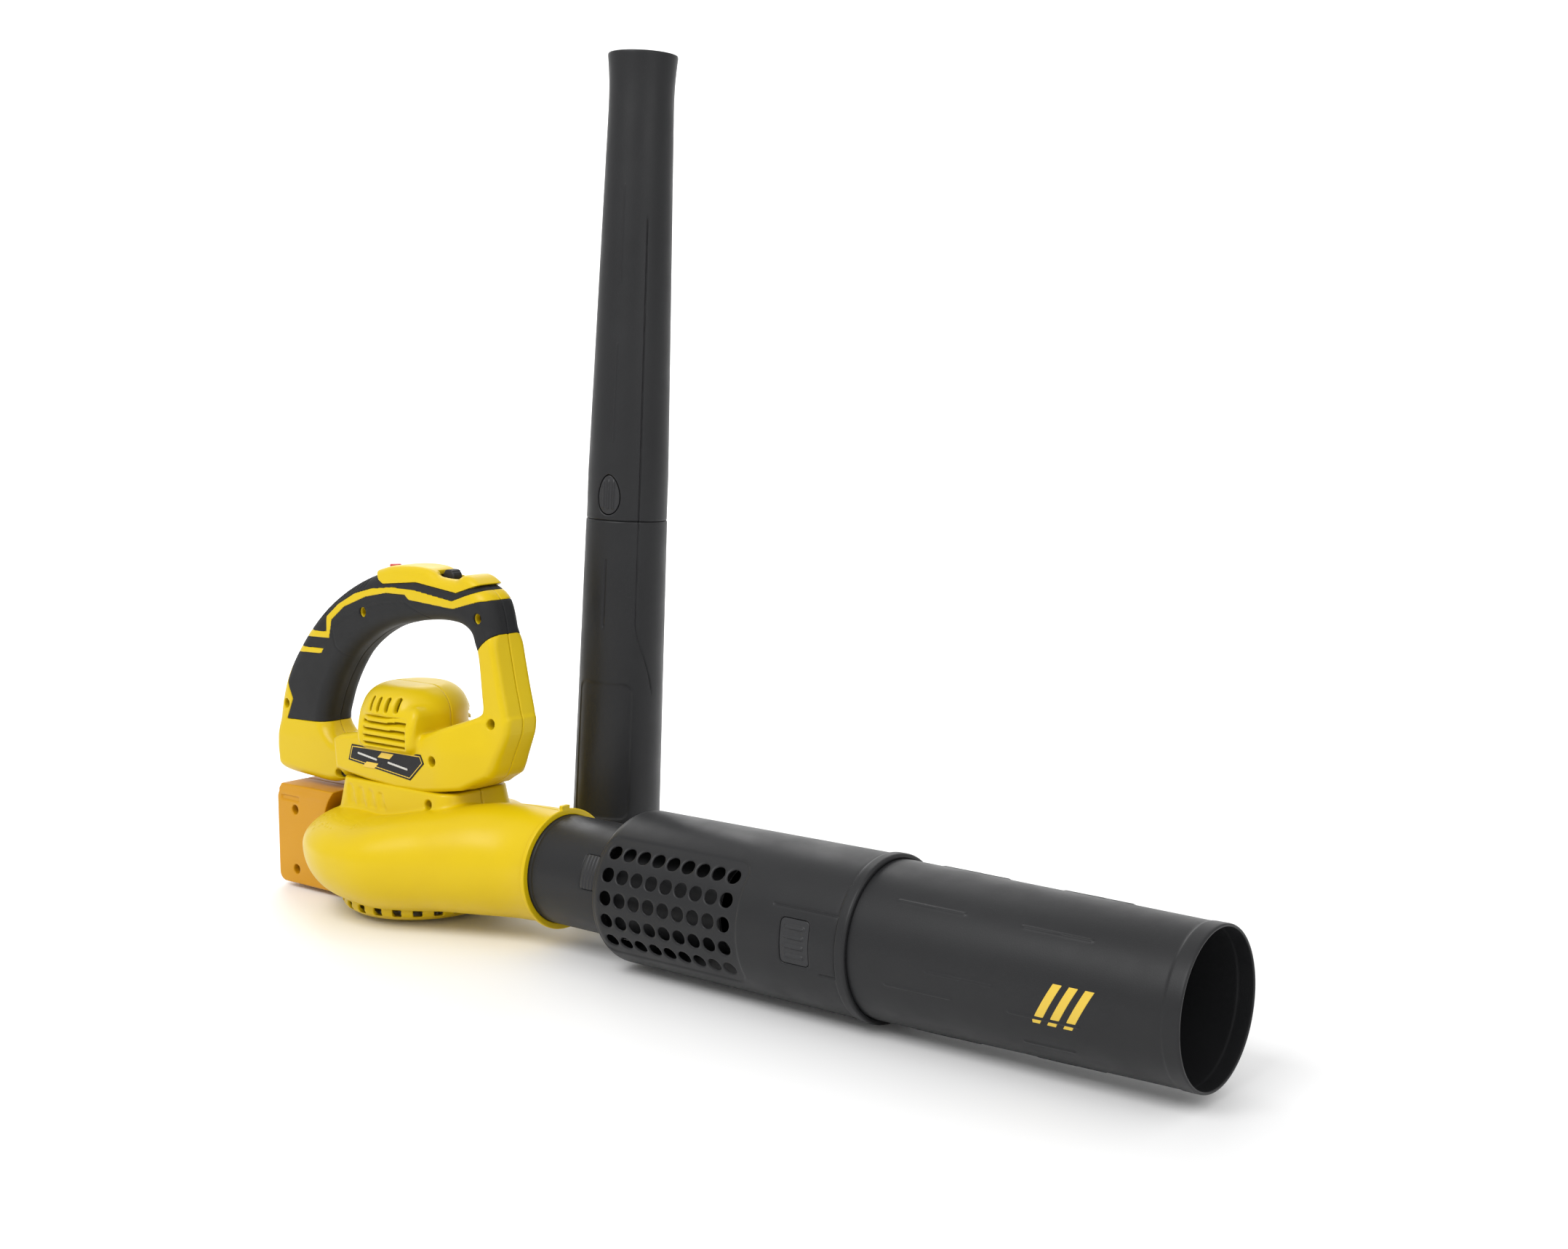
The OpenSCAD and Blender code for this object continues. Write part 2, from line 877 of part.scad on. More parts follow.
module narrow_upper() {
    inner_r = narrow_mid_r - tube_wall;
    color("dimgray")
        narrow_frame()
            difference() {
                rotate_extrude()
                    polygon([[inner_r, narrow_joint_z + gap], [narrow_mid_r, narrow_joint_z + gap],
                        [narrow_mid_r, narrow_joint_z + 40], [narrow_top_r, narrow_len - 24],
                        [narrow_top_r + 1.4, narrow_len], [narrow_top_r + 1.4 - tube_wall, narrow_len],
                        [narrow_top_r - tube_wall, narrow_len - 24], [inner_r, narrow_joint_z + narrow_plug + 4]]);
                narrow_slot(2 * gap);
            }
}

module narrow_latch() {
    color("gray")
        narrow_frame()
            intersection() {
                translate([0, 0, narrow_joint_z])
                    difference() {
                        cylinder(r = narrow_mid_r + 1, h = 60);
                        translate([0, 0, -eps])
                            cylinder(r = narrow_mid_r - tube_wall, h = 61);
                    }
                narrow_slot(0);
            }
}

module narrow_latch_spring() {
    color("silver")
        narrow_frame()
            intersection() {
                translate([0, 0, narrow_joint_z])
                    difference() {
                        cylinder(r = narrow_mid_r - tube_wall - 1.6, h = 60);
                        translate([0, 0, -eps])
                            cylinder(r = narrow_mid_r - tube_wall - 2, h = 61);
                    }
                rotate([0, 0, narrow_latch_dir - narrow_dir])
                    translate([narrow_mid_r, 0, narrow_latch_z])
                        cube([30, 7, narrow_latch_h - 8], center = true);
            }
}

module label_plates() {
    color("black")
        for (side = [-1, 1])
            translate([0, side * label_y, 0])
                rotate([90, 0, 0])
                    linear_extrude(height = label_t, center = true)
                        polygon(label_pts);
}

scroll_left();
scroll_right();
housing_left();
housing_right();
grip_left();
grip_right();
control_pod();
speed_slider();
boost_button();
boost_spring();
switch_module();
intake_dish();
impeller();
rotor_shaft();
rotor_core();
motor_can();
motor_cap();
bearings();
motor_plate();
controller_board();
receptacle_left();
receptacle_right();
terminal_block();
contact_blades();
screws();
outlet_flange();
neck_tube();
neck_latch();
venturi_shell();
wide_latch();
wide_latch_spring();
front_tube();
narrow_lower();
narrow_upper();
narrow_latch();
narrow_latch_spring();
label_plates();
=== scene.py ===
import bpy
import functools
import math
import numpy as np
from mathutils import Vector, Matrix
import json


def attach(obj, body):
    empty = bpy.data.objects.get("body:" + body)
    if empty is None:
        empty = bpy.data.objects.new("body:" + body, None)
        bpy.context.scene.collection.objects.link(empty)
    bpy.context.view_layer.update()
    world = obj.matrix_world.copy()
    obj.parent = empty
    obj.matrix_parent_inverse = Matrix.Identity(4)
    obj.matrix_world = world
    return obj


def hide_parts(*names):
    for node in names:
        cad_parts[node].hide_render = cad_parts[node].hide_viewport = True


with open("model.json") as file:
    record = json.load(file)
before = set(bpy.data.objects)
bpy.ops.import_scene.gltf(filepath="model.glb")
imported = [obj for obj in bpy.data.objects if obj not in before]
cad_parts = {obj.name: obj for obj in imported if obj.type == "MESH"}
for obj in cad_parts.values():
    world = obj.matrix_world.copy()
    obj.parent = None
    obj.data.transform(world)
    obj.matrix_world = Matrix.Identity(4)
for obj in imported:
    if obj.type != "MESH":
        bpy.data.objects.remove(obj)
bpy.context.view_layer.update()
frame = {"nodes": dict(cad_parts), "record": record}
nodes = frame["nodes"]
MM = 0.001
# Millimetres: height of the air axis, half the gap at a seam, radii of a screw recess and of its boss
AXIS_Z = 63.0
SEAM = 0.06
RECESS_R, BOSS_R = 4.4, 6.6
# Degrees round the Z axis from which the tool is seen
VIEW_DEG = 38.4


# ---------------------------------------------------------------- camera, floor and light
def make_camera():
    az, el = math.radians(VIEW_DEG), math.radians(7.12)
    back = Vector((math.sin(az) * math.cos(el), -math.cos(az) * math.cos(el), math.sin(el)))
    right = Vector((math.cos(az), math.sin(az), 0))
    up = back.cross(right)
    data = bpy.data.cameras.new("main_camera")
    data.sensor_width = 36.0
    data.lens = 44.74
    data.clip_start = 0.05
    data.clip_end = 50
    cam = bpy.data.objects.new("main_camera", data)
    bpy.context.scene.collection.objects.link(cam)
    m = Matrix((right, up, back)).transposed().to_4x4()
    m.translation = Vector((1.307, -1.130, 0.466))
    cam.matrix_world = m
    bpy.context.scene.camera = cam


def make_floor():
    """A white floor that curves up into a wall behind the tool."""
    n = 24
    verts, faces = [], []
    prof = [(-3.0 + 0.25 * i, 0.0) for i in range(22)]
    for i in range(13):
        a = math.radians(i * 7.5)
        prof.append((2.5 + 1.6 * math.sin(a), 1.6 - 1.6 * math.cos(a)))
    prof.append((4.1, 4.5))
    for y, z in prof:
        for i in range(n + 1):
            verts.append((-6 + 12 * i / n, y, z))
    for j in range(len(prof) - 1):
        for i in range(n):
            a = j * (n + 1) + i
            faces.append((a, a + 1, a + n + 2, a + n + 1))
    me = bpy.data.meshes.new("studio_floor")
    me.from_pydata(verts, [], faces)
    me.shade_smooth()
    ob = bpy.data.objects.new("studio_floor", me)
    bpy.context.scene.collection.objects.link(ob)
    ob.matrix_world = Matrix.Rotation(math.radians(VIEW_DEG), 4, "Z")
    ob.location.z = -0.0004
    mat = bpy.data.materials.new("studio_white")
    mat.use_nodes = True
    b = mat.node_tree.nodes["Principled BSDF"]
    b.inputs["Base Color"].default_value = (0.93, 0.93, 0.93, 1)
    b.inputs["Roughness"].default_value = 0.55
    me.materials.append(mat)


def area_light(name, loc, target, size, energy):
    d = bpy.data.lights.new(name, "AREA")
    d.shape = "RECTANGLE"
    d.size = size
    d.size_y = size
    d.energy = energy
    o = bpy.data.objects.new(name, d)
    bpy.context.scene.collection.objects.link(o)
    o.location = loc
    o.rotation_euler = (Vector(target) - Vector(loc)).to_track_quat("-Z", "Y").to_euler()


def make_light():
    w = bpy.data.worlds.new("studio")
    bpy.context.scene.world = w
    w.use_nodes = True
    w.node_tree.nodes["Background"].inputs[0].default_value = (1, 1, 1, 1)
    w.node_tree.nodes["Background"].inputs[1].default_value = 0.74
    area_light("key", (0.2, -1.9, 2.3), (0.2, 0, 0.15), 1.4, 44)
    area_light("fill", (2.6, -0.6, 1.4), (0.3, 0, 0.1), 1.5, 12)
    area_light("rim", (-1.6, 1.2, 1.8), (0.2, 0, 0.2), 1.2, 12)
    area_light("backdrop", (-0.4, 0.9, 2.4), (-2.2, 3.0, 0.9), 1.8, 75)


bpy.context.scene.view_settings.view_transform = "Standard"
make_camera()
make_floor()
make_light()


# ---------------------------------------------------------------- materials
class Mat:
    """Small helper to write node materials."""

    def __init__(self, name):
        self.m = bpy.data.materials.new(name)
        self.m.use_nodes = True
        self.t = self.m.node_tree
        self.b = self.t.nodes["Principled BSDF"]
        self.co = self.t.nodes.new("ShaderNodeTexCoord").outputs["Object"]

    def noise(self, scale, detail):
        n = self.t.nodes.new("ShaderNodeTexNoise")
        n.inputs["Scale"].default_value = scale
        n.inputs["Detail"].default_value = detail
        self.t.links.new(self.co, n.inputs["Vector"])
        return n.outputs["Fac"]

    def maprange(self, src, a, b, c, d):
        r = self.t.nodes.new("ShaderNodeMapRange")
        for i, v in zip((1, 2, 3, 4), (a, b, c, d)):
            r.inputs[i].default_value = v
        self.t.links.new(src, r.inputs[0])
        return r.outputs[0]

    def mix(self, fac, a, b):
        n = self.t.nodes.new("ShaderNodeMix")
        n.data_type = "RGBA"
        self.t.links.new(fac, n.inputs[0])
        for sock, v in ((n.inputs[6], a), (n.inputs[7], b)):
            if isinstance(v, tuple):
                sock.default_value = (*v, 1)
            else:
                self.t.links.new(v, sock)
        return n.outputs[2]

    def edge(self):
        """Pointiness, about 0.5 on flats and higher on ridges."""
        return self.t.nodes.new("ShaderNodeNewGeometry").outputs["Pointiness"]

    def bump(self, height, strength, distance):
        n = self.t.nodes.new("ShaderNodeBump")
        n.inputs["Strength"].default_value = strength
        n.inputs["Distance"].default_value = distance
        self.t.links.new(height, n.inputs["Height"])
        self.t.links.new(n.outputs[0], self.b.inputs["Normal"])

    def link(self, src, name):
        self.t.links.new(src, self.b.inputs[name])


def plastic(name, col, dark, rough, grain, bump, spec=0.5, edge_col=None, coat=0.0):
    """Moulded plastic: two blotched tones, paler edges, uneven gloss and a fine grain."""
    k = Mat(name)
    base = k.mix(k.maprange(k.noise(9.0, 4.0), 0.3, 0.7, 0.0, 1.0), col, dark)
    if edge_col:
        # Convex ridges, where Pointiness rises, are mixed towards the paler edge colour.
        ridge_tint = k.maprange(k.edge(), 0.54, 0.64, 0.0, 0.55)
        base = k.mix(ridge_tint, base, edge_col)
    k.link(base, "Base Color")
    fine = k.noise(grain, 2.0)
    k.link(k.maprange(k.noise(34.0, 5.0), 0.3, 0.7, rough - 0.05, rough + 0.06), "Roughness")
    k.bump(fine, bump, 0.0004)
    k.b.inputs["Specular IOR Level"].default_value = spec
    k.b.inputs["Coat Weight"].default_value = coat
    k.b.inputs["Coat Roughness"].default_value = 0.25
    return k.m


def metal(name, col, rough, aniso=0.0):
    """Metal with faint blotches and uneven gloss."""
    k = Mat(name)
    tone = k.maprange(k.noise(60.0, 4.0), 0.35, 0.65, 0.0, 1.0)
    k.link(k.mix(tone, col, tuple(c * 0.82 for c in col)), "Base Color")
    k.link(k.maprange(k.noise(300.0, 3.0), 0.3, 0.7, rough - 0.06, rough + 0.1), "Roughness")
    k.b.inputs["Metallic"].default_value = 1.0
    k.b.inputs["Anisotropic"].default_value = aniso
    k.bump(k.noise(1200.0, 2.0), 0.06, 0.0002)
    return k.m


YELLOW = plastic("yellow_abs", (0.66, 0.475, 0.002), (0.62, 0.43, 0.001), 0.36, 1400.0, 0.10, 0.26,
                 (0.70, 0.53, 0.012), 0.03)
ORANGE = plastic("orange_abs", (0.57, 0.27, 0.002), (0.52, 0.235, 0.001), 0.40, 1400.0, 0.10, 0.26,
                 (0.62, 0.32, 0.01), 0.02)
GRIP = plastic("soft_overmould", (0.018, 0.0182, 0.019), (0.014, 0.0142, 0.015), 0.6, 2200.0, 0.35, 0.22,
               (0.06, 0.06, 0.065))
TUBE = plastic("satin_black", (0.016, 0.0163, 0.0175), (0.013, 0.0132, 0.0143), 0.42, 1100.0, 0.14, 0.27,
               (0.05, 0.05, 0.053))
BLACK = plastic("black_moulding", (0.016, 0.016, 0.018), (0.012, 0.012, 0.013), 0.5, 900.0, 0.12, 0.45,
                (0.05, 0.05, 0.05))
LATCH = plastic("latch_grey", (0.022, 0.0222, 0.024), (0.018, 0.0182, 0.02), 0.45, 1500.0, 0.2, 0.35,
                (0.07, 0.07, 0.075))
RED = plastic("red_button", (0.55, 0.022, 0.012), (0.47, 0.016, 0.01), 0.3, 1400.0, 0.05, 0.5, None, 0.3)
STEEL = metal("bright_steel", (0.62, 0.62, 0.64), 0.3, 0.3)
OXIDE = metal("black_oxide", (0.06, 0.06, 0.065), 0.42)
BRASS = metal("contact_plate", (0.72, 0.58, 0.30), 0.28)
BOARD = plastic("circuit_board", (0.01, 0.12, 0.04), (0.01, 0.09, 0.03), 0.3, 500.0, 0.05, 0.5, None, 0.3)
LABEL = plastic("label_film", (0.006, 0.006, 0.007), (0.009, 0.009, 0.010), 0.28, 2400.0, 0.04, 0.25)
MARK = plastic("label_mark", (0.72, 0.50, 0.05), (0.66, 0.44, 0.04), 0.35, 2000.0, 0.04)
PALE = plastic("label_pale", (0.55, 0.55, 0.53), (0.50, 0.50, 0.49), 0.4, 2000.0, 0.04)

# Every CAD node takes the material of its slot
SLOT_MAT = {"yellow_housing": YELLOW, "orange_housing": ORANGE, "soft_grip": GRIP, "black_tube": TUBE,
            "black_control": LATCH, "red_button": RED, "steel": STEEL, "dark_screw": OXIDE,
            "black_moulding": BLACK, "circuit_board": BOARD, "contact_metal": BRASS, "label": LABEL}
for sp in frame["record"]["subparts"]:
    ob = nodes[sp["node"]]
    ob.data.materials.clear()
    ob.data.materials.append(SLOT_MAT[sp["material_slot"]])


# ---------------------------------------------------------------- implicit surfaces, in millimetres
def grid(lo, hi, step):
    """The three axes of a box of samples, ready to broadcast."""
    ax = [np.arange(a, b + s, s, dtype=np.float32) for a, b, s in zip(lo, hi, step)]
    return np.meshgrid(*ax, indexing="ij", sparse=True)


def nets(F, lo, step, wrap=False, relax=2):
    """Surface nets: vertices and quads of F = 0, with F negative inside.

    wrap joins the two ends of axis 0, and relax is how often the vertices are evened out.
    """
    S = F < 0
    c = [S[i:S.shape[0] - 1 + i, j:S.shape[1] - 1 + j, k:S.shape[2] - 1 + k]
         for i in (0, 1) for j in (0, 1) for k in (0, 1)]
    cnt = np.zeros(c[0].shape, np.uint8)
    for a in c:
        cnt += a
    act = (cnt > 0) & (cnt < 8)
    if wrap:
        act[-1] = False
    I, J, K = np.nonzero(act)
    idx = np.full(act.shape, -1, np.int64)
    idx[I, J, K] = np.arange(len(I))
    if wrap:
        idx[-1] = idx[0]
    P = np.zeros((len(I), 3))
    N = np.zeros(len(I))
    for a in range(3):
        o = [x for x in range(3) if x != a]
        for p in (0, 1):
            for q in (0, 1):
                d0 = [0, 0, 0]
                d0[o[0]], d0[o[1]] = p, q
                d1 = list(d0)
                d1[a] = 1
                f0 = F[I + d0[0], J + d0[1], K + d0[2]]
                f1 = F[I + d1[0], J + d1[1], K + d1[2]]
                m = (f0 < 0) != (f1 < 0)
                t = np.where(m, f0 / np.where(m, f0 - f1, 1), 0)
                N += m
                P[:, a] += np.where(m, t, 0)
                P[:, o[0]] += np.where(m, p, 0)
                P[:, o[1]] += np.where(m, q, 0)
    P = P / N[:, None] + np.stack([I, J, K], 1)
    quads = []
    for a in range(3):
        o = [x for x in range(3) if x != a]
        s0 = [slice(None)] * 3
        s1 = [slice(None)] * 3
        s0[a], s1[a] = slice(0, -1), slice(1, None)
        for x in o:
            s0[x] = s1[x] = slice(1, -1)
        A, B = S[tuple(s0)], S[tuple(s1)]
        e = np.nonzero(A != B)
        pos = [v.copy() for v in e]
        for x in o:
            pos[x] = pos[x] + 1
        if wrap and a == 0:
            keep = pos[0] < S.shape[0] - 2
            pos = [v[keep] for v in pos]
            e = tuple(v[keep] for v in e)
        flip = A[e]
        q = []
        for u, v in ((-1, -1), (0, -1), (0, 0), (-1, 0)):
            r = [v2.copy() for v2 in pos]
            r[o[0]] = r[o[0]] + u
            r[o[1]] = r[o[1]] + v
            if wrap:
                r[0] = r[0] % (S.shape[0] - 2)
            q.append(idx[r[0], r[1], r[2]])
        q = np.stack(q, 1)
        if a == 1:
            flip = ~flip
        q[~flip] = q[~flip][:, ::-1]
        quads.append(q)
    Q = np.concatenate(quads)
    Q = Q[(Q >= 0).all(1)]
    n = len(P)
    E = np.concatenate([Q[:, [0, 1]], Q[:, [1, 2]], Q[:, [2, 3]], Q[:, [3, 0]]])
    E = np.concatenate([E, E[:, ::-1]])
    deg = np.maximum(np.bincount(E[:, 0], minlength=n), 1)
    top = np.array(F.shape) - 1.001
    step = np.asarray(step, float)
    for _ in range(relax):
        M = np.stack([np.bincount(E[:, 0], P[E[:, 1], k], n) for k in range(3)], 1) / deg[:, None]
        if wrap:
            L = S.shape[0] - 2
            d = P[E[:, 1], 0] - P[E[:, 0], 0]
            d -= L * np.round(d / L)
            M[:, 0] = P[:, 0] + np.bincount(E[:, 0], d, n) / deg
        P = P * 0.45 + M * 0.55
        for _ in range(2):
            if wrap:
                P[:, 0] = np.mod(P[:, 0], S.shape[0] - 2)
            Pc = np.clip(P, 0, top)
            b = np.floor(Pc).astype(int)
            t = Pc - b
            f = {}
            for i in (0, 1):
                for j in (0, 1):
                    for l in (0, 1):
                        f[i, j, l] = F[b[:, 0] + i, b[:, 1] + j, b[:, 2] + l]
            x, y, z = t.T
            lx = {jl: f[(0, *jl)] * (1 - x) + f[(1, *jl)] * x for jl in ((0, 0), (0, 1), (1, 0), (1, 1))}
            ly = [lx[0, l] * (1 - y) + lx[1, l] * y for l in (0, 1)]
            v = ly[0] * (1 - z) + ly[1] * z
            gx = ((f[1, 0, 0] - f[0, 0, 0]) * (1 - y) + (f[1, 1, 0] - f[0, 1, 0]) * y) * (1 - z) + \
                 ((f[1, 0, 1] - f[0, 0, 1]) * (1 - y) + (f[1, 1, 1] - f[0, 1, 1]) * y) * z
            gy = (lx[1, 0] - lx[0, 0]) * (1 - z) + (lx[1, 1] - lx[0, 1]) * z
            gz = ly[1] - ly[0]
            G = np.stack([gx, gy, gz], 1)
            g2 = (G ** 2).sum(1) + 1e-6
            mv = G * (v / g2)[:, None]
            ln = np.sqrt((mv ** 2).sum(1))
            P = P - mv * np.minimum(1, 0.5 / np.maximum(ln, 1e-9))[:, None]
    return P * step + np.asarray(lo, float), Q


def mesh_piece(name, V, Q, mat, body, stand_for):
    """A Blender mesh from millimetre vertices and quads."""
    me = bpy.data.meshes.new(name)
    me.vertices.add(len(V))
    me.vertices.foreach_set("co", (V * MM).astype(np.float32).ravel())
    me.loops.add(Q.size)
    me.loops.foreach_set("vertex_index", Q.ravel().astype(np.int32))
    me.polygons.add(len(Q))
    me.polygons.foreach_set("loop_start", np.arange(0, Q.size, Q.shape[1], dtype=np.int32))
    me.update(calc_edges=True)
    me.validate()
    me.shade_smooth()
    me.materials.append(mat)
    ob = bpy.data.objects.new(name, me)
    bpy.context.scene.collection.objects.link(ob)
    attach(ob, body)
    if stand_for:
        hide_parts(*stand_for)


def union(fields):
    return functools.reduce(np.minimum, fields)


def smin(a, b, k):
    """Union with a fillet of size k."""
    h = np.clip(0.5 + 0.5 * (b - a) / k, 0, 1)
    return b + (a - b) * h - k * h * (1 - h)


def smax(a, b, k):
    """Intersection with a softened edge of size k."""
    return -smin(-a, -b, k)


def length(*v):
    s = 0
    for a in v:
        s = s + a * a
    return np.sqrt(s)


def poly2(x, z, pts):
    """Signed distance to a closed polygon in two axes, negative inside."""
    pts = np.asarray(pts, float)
    d = np.full(np.broadcast(x, z).shape, 1e9, np.float32)
    inside = np.zeros(d.shape, bool)
    for (ax, az), (bx, bz) in zip(pts, np.roll(pts, -1, 0)):
        ex, ez = bx - ax, bz - az
        px, pz = x - ax, z - az
        t = np.clip((px * ex + pz * ez) / (ex * ex + ez * ez + 1e-9), 0, 1)
        d = np.minimum(d, (px - ex * t) ** 2 + (pz - ez * t) ** 2)
        c = (az > z) != (bz > z)
        inside ^= c & (x < ex * (z - az) / (ez if abs(ez) > 1e-9 else 1e-9) + ax)
    d = np.sqrt(d)
    return np.where(inside, -d, d)


def spline(pts, n=8):
    """Closed Catmull-Rom curve through the points."""
    p = np.asarray(pts, float)
    a, b, c, d = np.roll(p, 1, 0), p, np.roll(p, -1, 0), np.roll(p, -2, 0)
    out = []
    for t in np.arange(n) / n:
        out.append(0.5 * ((2 * b) + (c - a) * t + (2 * a - 5 * b + 4 * c - d) * t * t
                          + (3 * b - a - 3 * c + d) * t ** 3))
    return np.stack(out, 1).reshape(-1, 2)


def seg2(x, z, a, b):
    """Distance to a line piece in two axes."""
    ex, ez = b[0] - a[0], b[1] - a[1]
    t = np.clip(((x - a[0]) * ex + (z - a[1]) * ez) / (ex * ex + ez * ez), 0, 1)
    return length(x - a[0] - ex * t, z - a[1] - ez * t)


def corner(a, b, r):
    """Where two distances meet, a corner of radius r."""
    return length(np.maximum(a, 0), np.maximum(b, 0)) + np.minimum(np.maximum(a, b), 0) - r


def extrude(d2, dy, r):
    """Joins a side-view distance and a half-thickness distance with a rounded edge."""
    return corner(d2 + r, dy + r, r)


def rbox(x, y, z, c, h, r):
    """Signed distance to a rounded box with centre c and half sizes h."""
    q = [np.abs(v - m) - s + r for v, m, s in zip((x, y, z), c, h)]
    inside = np.minimum(np.maximum(q[0], np.maximum(q[1], q[2])), 0)
    return length(*[np.maximum(v, 0) for v in q]) + inside - r


def cyl_y(x, z, p, r):
    """Signed distance to a round bar along the Y axis through p."""
    return length(x - p[0], z - p[1]) - r


def build(name, f, lo, step, mat, body, stand_for):
    """A piece meshed on a plain grid."""
    V, Q = nets(f.astype(np.float32), lo, step)
    mesh_piece(name, V, Q, mat, body, stand_for)


def half(f, y, side):
    """Keeps what is on one side of the seam between two halves."""
    return np.maximum(f, (y + SEAM) if side < 0 else (SEAM - y))


def polar(name, field, h, r, n, dh, dr, place, mat, body, stand_for):
    """A piece meshed on a grid of angle, length and radius, so that round tubes stay round."""
    h0, r0 = h[0] - 1.5 * dh, r[0] - 1.5 * dr
    ph = (np.arange(n + 2, dtype=np.float32) * (2 * math.pi / n))[:, None, None]
    hs = np.arange(h0, h[1] + 1.6 * dh, dh, dtype=np.float32)[None, :, None]
    rs = np.arange(r0, r[1] + 1.6 * dr, dr, dtype=np.float32)[None, None, :]
    f = field(ph, hs, rs) + 0 * (ph + hs + rs)
    V, Q = nets(f.astype(np.float32), (0, h0, r0), (2 * math.pi / n, dh, dr), wrap=True)
    V = place(V[:, 2] * np.cos(V[:, 0]), V[:, 2] * np.sin(V[:, 0]), V[:, 1])
    T = V[Q[:, :3]]
    if (T[:, 0] * np.cross(T[:, 1], T[:, 2])).sum() < 0:
        Q = Q[:, ::-1]
    mesh_piece(name, V, Q, mat, body, stand_for)


def arc(ph, deg, r):
    """Signed arc length from an angle in degrees."""
    d = ph - math.radians(deg)
    return (np.mod(d + math.pi, 2 * math.pi) - math.pi) * r


def rrect(a, b, ha, hb, r):
    """Signed distance to a rounded rectangle."""
    return corner(np.abs(a) - ha + r, np.abs(b) - hb + r, r)


def soft(d, w):
    """1 inside a shape, 0 outside, with a slope of width w."""
    v = np.clip(0.5 - d / w, 0, 1)
    return v * v * (3 - 2 * v)


# ---------------------------------------------------------------- handle housing and grips
# Side-view outlines: outside and inside of the handle loop, its foot, and the area of the grip skin
OUT = spline([(-172, 108), (-179, 122), (-179, 140), (-177, 160), (-170, 185), (-160, 205),
              (-146, 224), (-129, 243), (-106, 263), (-79, 280), (-50, 293), (-22, 301), (5, 304),
              (30, 303), (55, 300), (78, 298), (96, 293), (107, 284), (113, 268), (117, 245),
              (124, 212), (130, 186), (129, 172), (120, 152), (110, 134), (85, 122), (45, 116),
              (10, 115), (-30, 117), (-66, 119), (-95, 104), (-130, 104)], 6)
INN = spline([(-108, 158), (-104, 172), (-97, 188), (-85, 207), (-70, 224), (-49, 239), (-26, 250),
              (-3, 256), (21, 260), (42, 262), (57, 262), (72, 260), (84, 254), (91, 247),
              (95, 238), (97, 225), (99, 204), (100, 191), (96, 184), (84, 179), (28, 160),
              (-41, 158), (-70, 152), (-90, 141), (-101, 146)], 6)
BLOCK = [(-72, 122), (-75, 150), (-66, 154), (-40, 159), (28, 160), (97, 184), (130, 184),
         (129, 172), (110, 134), (85, 121), (45, 115), (10, 114), (-30, 117)]
ZONE = [(-161, 156), (-96, 158), (-60, 205), (60, 205), (90, 236), (97, 241), (103, 247),
        (117, 257), (132, 262), (140, 262), (140, 330), (-200, 330), (-200, 222), (-150, 217),
        (-160, 191), (-152, 175)]
# Raised yellow stripes on the sides of the grip, and the yellow pod for the controls
STRIPE = [(-160, 240), (-101, 242), (-100, 256), (-84, 268), (-61, 279), (-37, 285), (-10, 288),
          (21, 287), (67, 281), (107, 294), (112, 284), (98, 282), (68, 274), (12, 278), (7, 282),
          (-18, 282), (-45, 277), (-75, 266), (-93, 253), (-97, 236), (-160, 234)]
BAR = [(-165, 225), (-105, 226), (-109, 221), (-165, 219)]
POD = [(-37, 304), (-29, 293), (-22, 290), (21, 294), (72, 288), (98, 297), (106, 295), (106, 312),
       (-37, 312)]
CREST = spline([(-52, 290), (-40, 299), (-28, 303), (-12, 306.4), (10, 307.8), (28, 307), (38, 304),
                (45, 299.6), (50, 298.4), (60, 298), (68, 298.8), (73, 301.6), (79, 303.2),
                (88, 300.6), (98, 294), (108, 285), (104, 270), (0, 270), (-52, 275)], 5)
# A fine groove on the grip, and the scoop for the slider
PANEL_LINE = [(-76, 221), (-89, 230), (-93, 246), (-58, 264), (-28, 272), (6, 276), (34, 264)]
NOTCH = [(37, 310), (41, 301), (46, 297.2), (70, 297.2), (76, 303), (80, 310)]
# Screw recesses: x, z and the distance from the seam to the head
SCREWS = [(-50, 263, 12), (98, 268, 12), (-162, 170, 12), (113, 180, 12), (57, 144, 26), (-88, 113, 14)]
# Centre of the motor dome, outer face of its louvred cheek, and centre of the louvres
DOME_X = -4.0
CHEEK_Y = 45.6
PANEL_X, PANEL_Z = 4, 164
# Fins of the louvre: number, height of the first, pitch and lean. Upright vents: number, first and pitch
FINS, FIN_Z, FIN_PITCH, FIN_LEAN = 5, 151.5, 6.2, 0.45
VENTS, VENT_X, VENT_PITCH = 4, -11, 9.2
# Depths below the surface: the seat under the grip skin, the skin's inside and the housing's inside
SEAT_DEPTH, SKIN_DEPTH, HOUSING_DEPTH = 2.75, 2.45, 5.4
# Gap round the grip skin and the pod
TRIM_GAP = 0.3


def step01(v):
    """A smooth step from 0 to 1."""
    v = np.clip(v, 0, 1)
    return v * v * (3 - 2 * v)


def handle_fields(x, z):
    """Side-view fields that the housing, the grips and the trims share."""
    d_out, d_in = poly2(x, z, OUT), poly2(x, z, INN)
    loop = smax(d_out, -d_in, 1.5)
    strut = step01((x - 78) / 16) * step01((262 - z) / 18)
    low = step01((158 - z) / 20)
    r = 13 - 7 * np.maximum(strut, 0.6 * low)
    hw = 19.3 + 1.2 * low
    return loop, r.astype(np.float32), hw.astype(np.float32)


def loop_body(x, y, z):
    """The rounded handle loop."""
    loop, r, hw = handle_fields(x, z)
    return extrude(loop, np.abs(y) - hw, r)


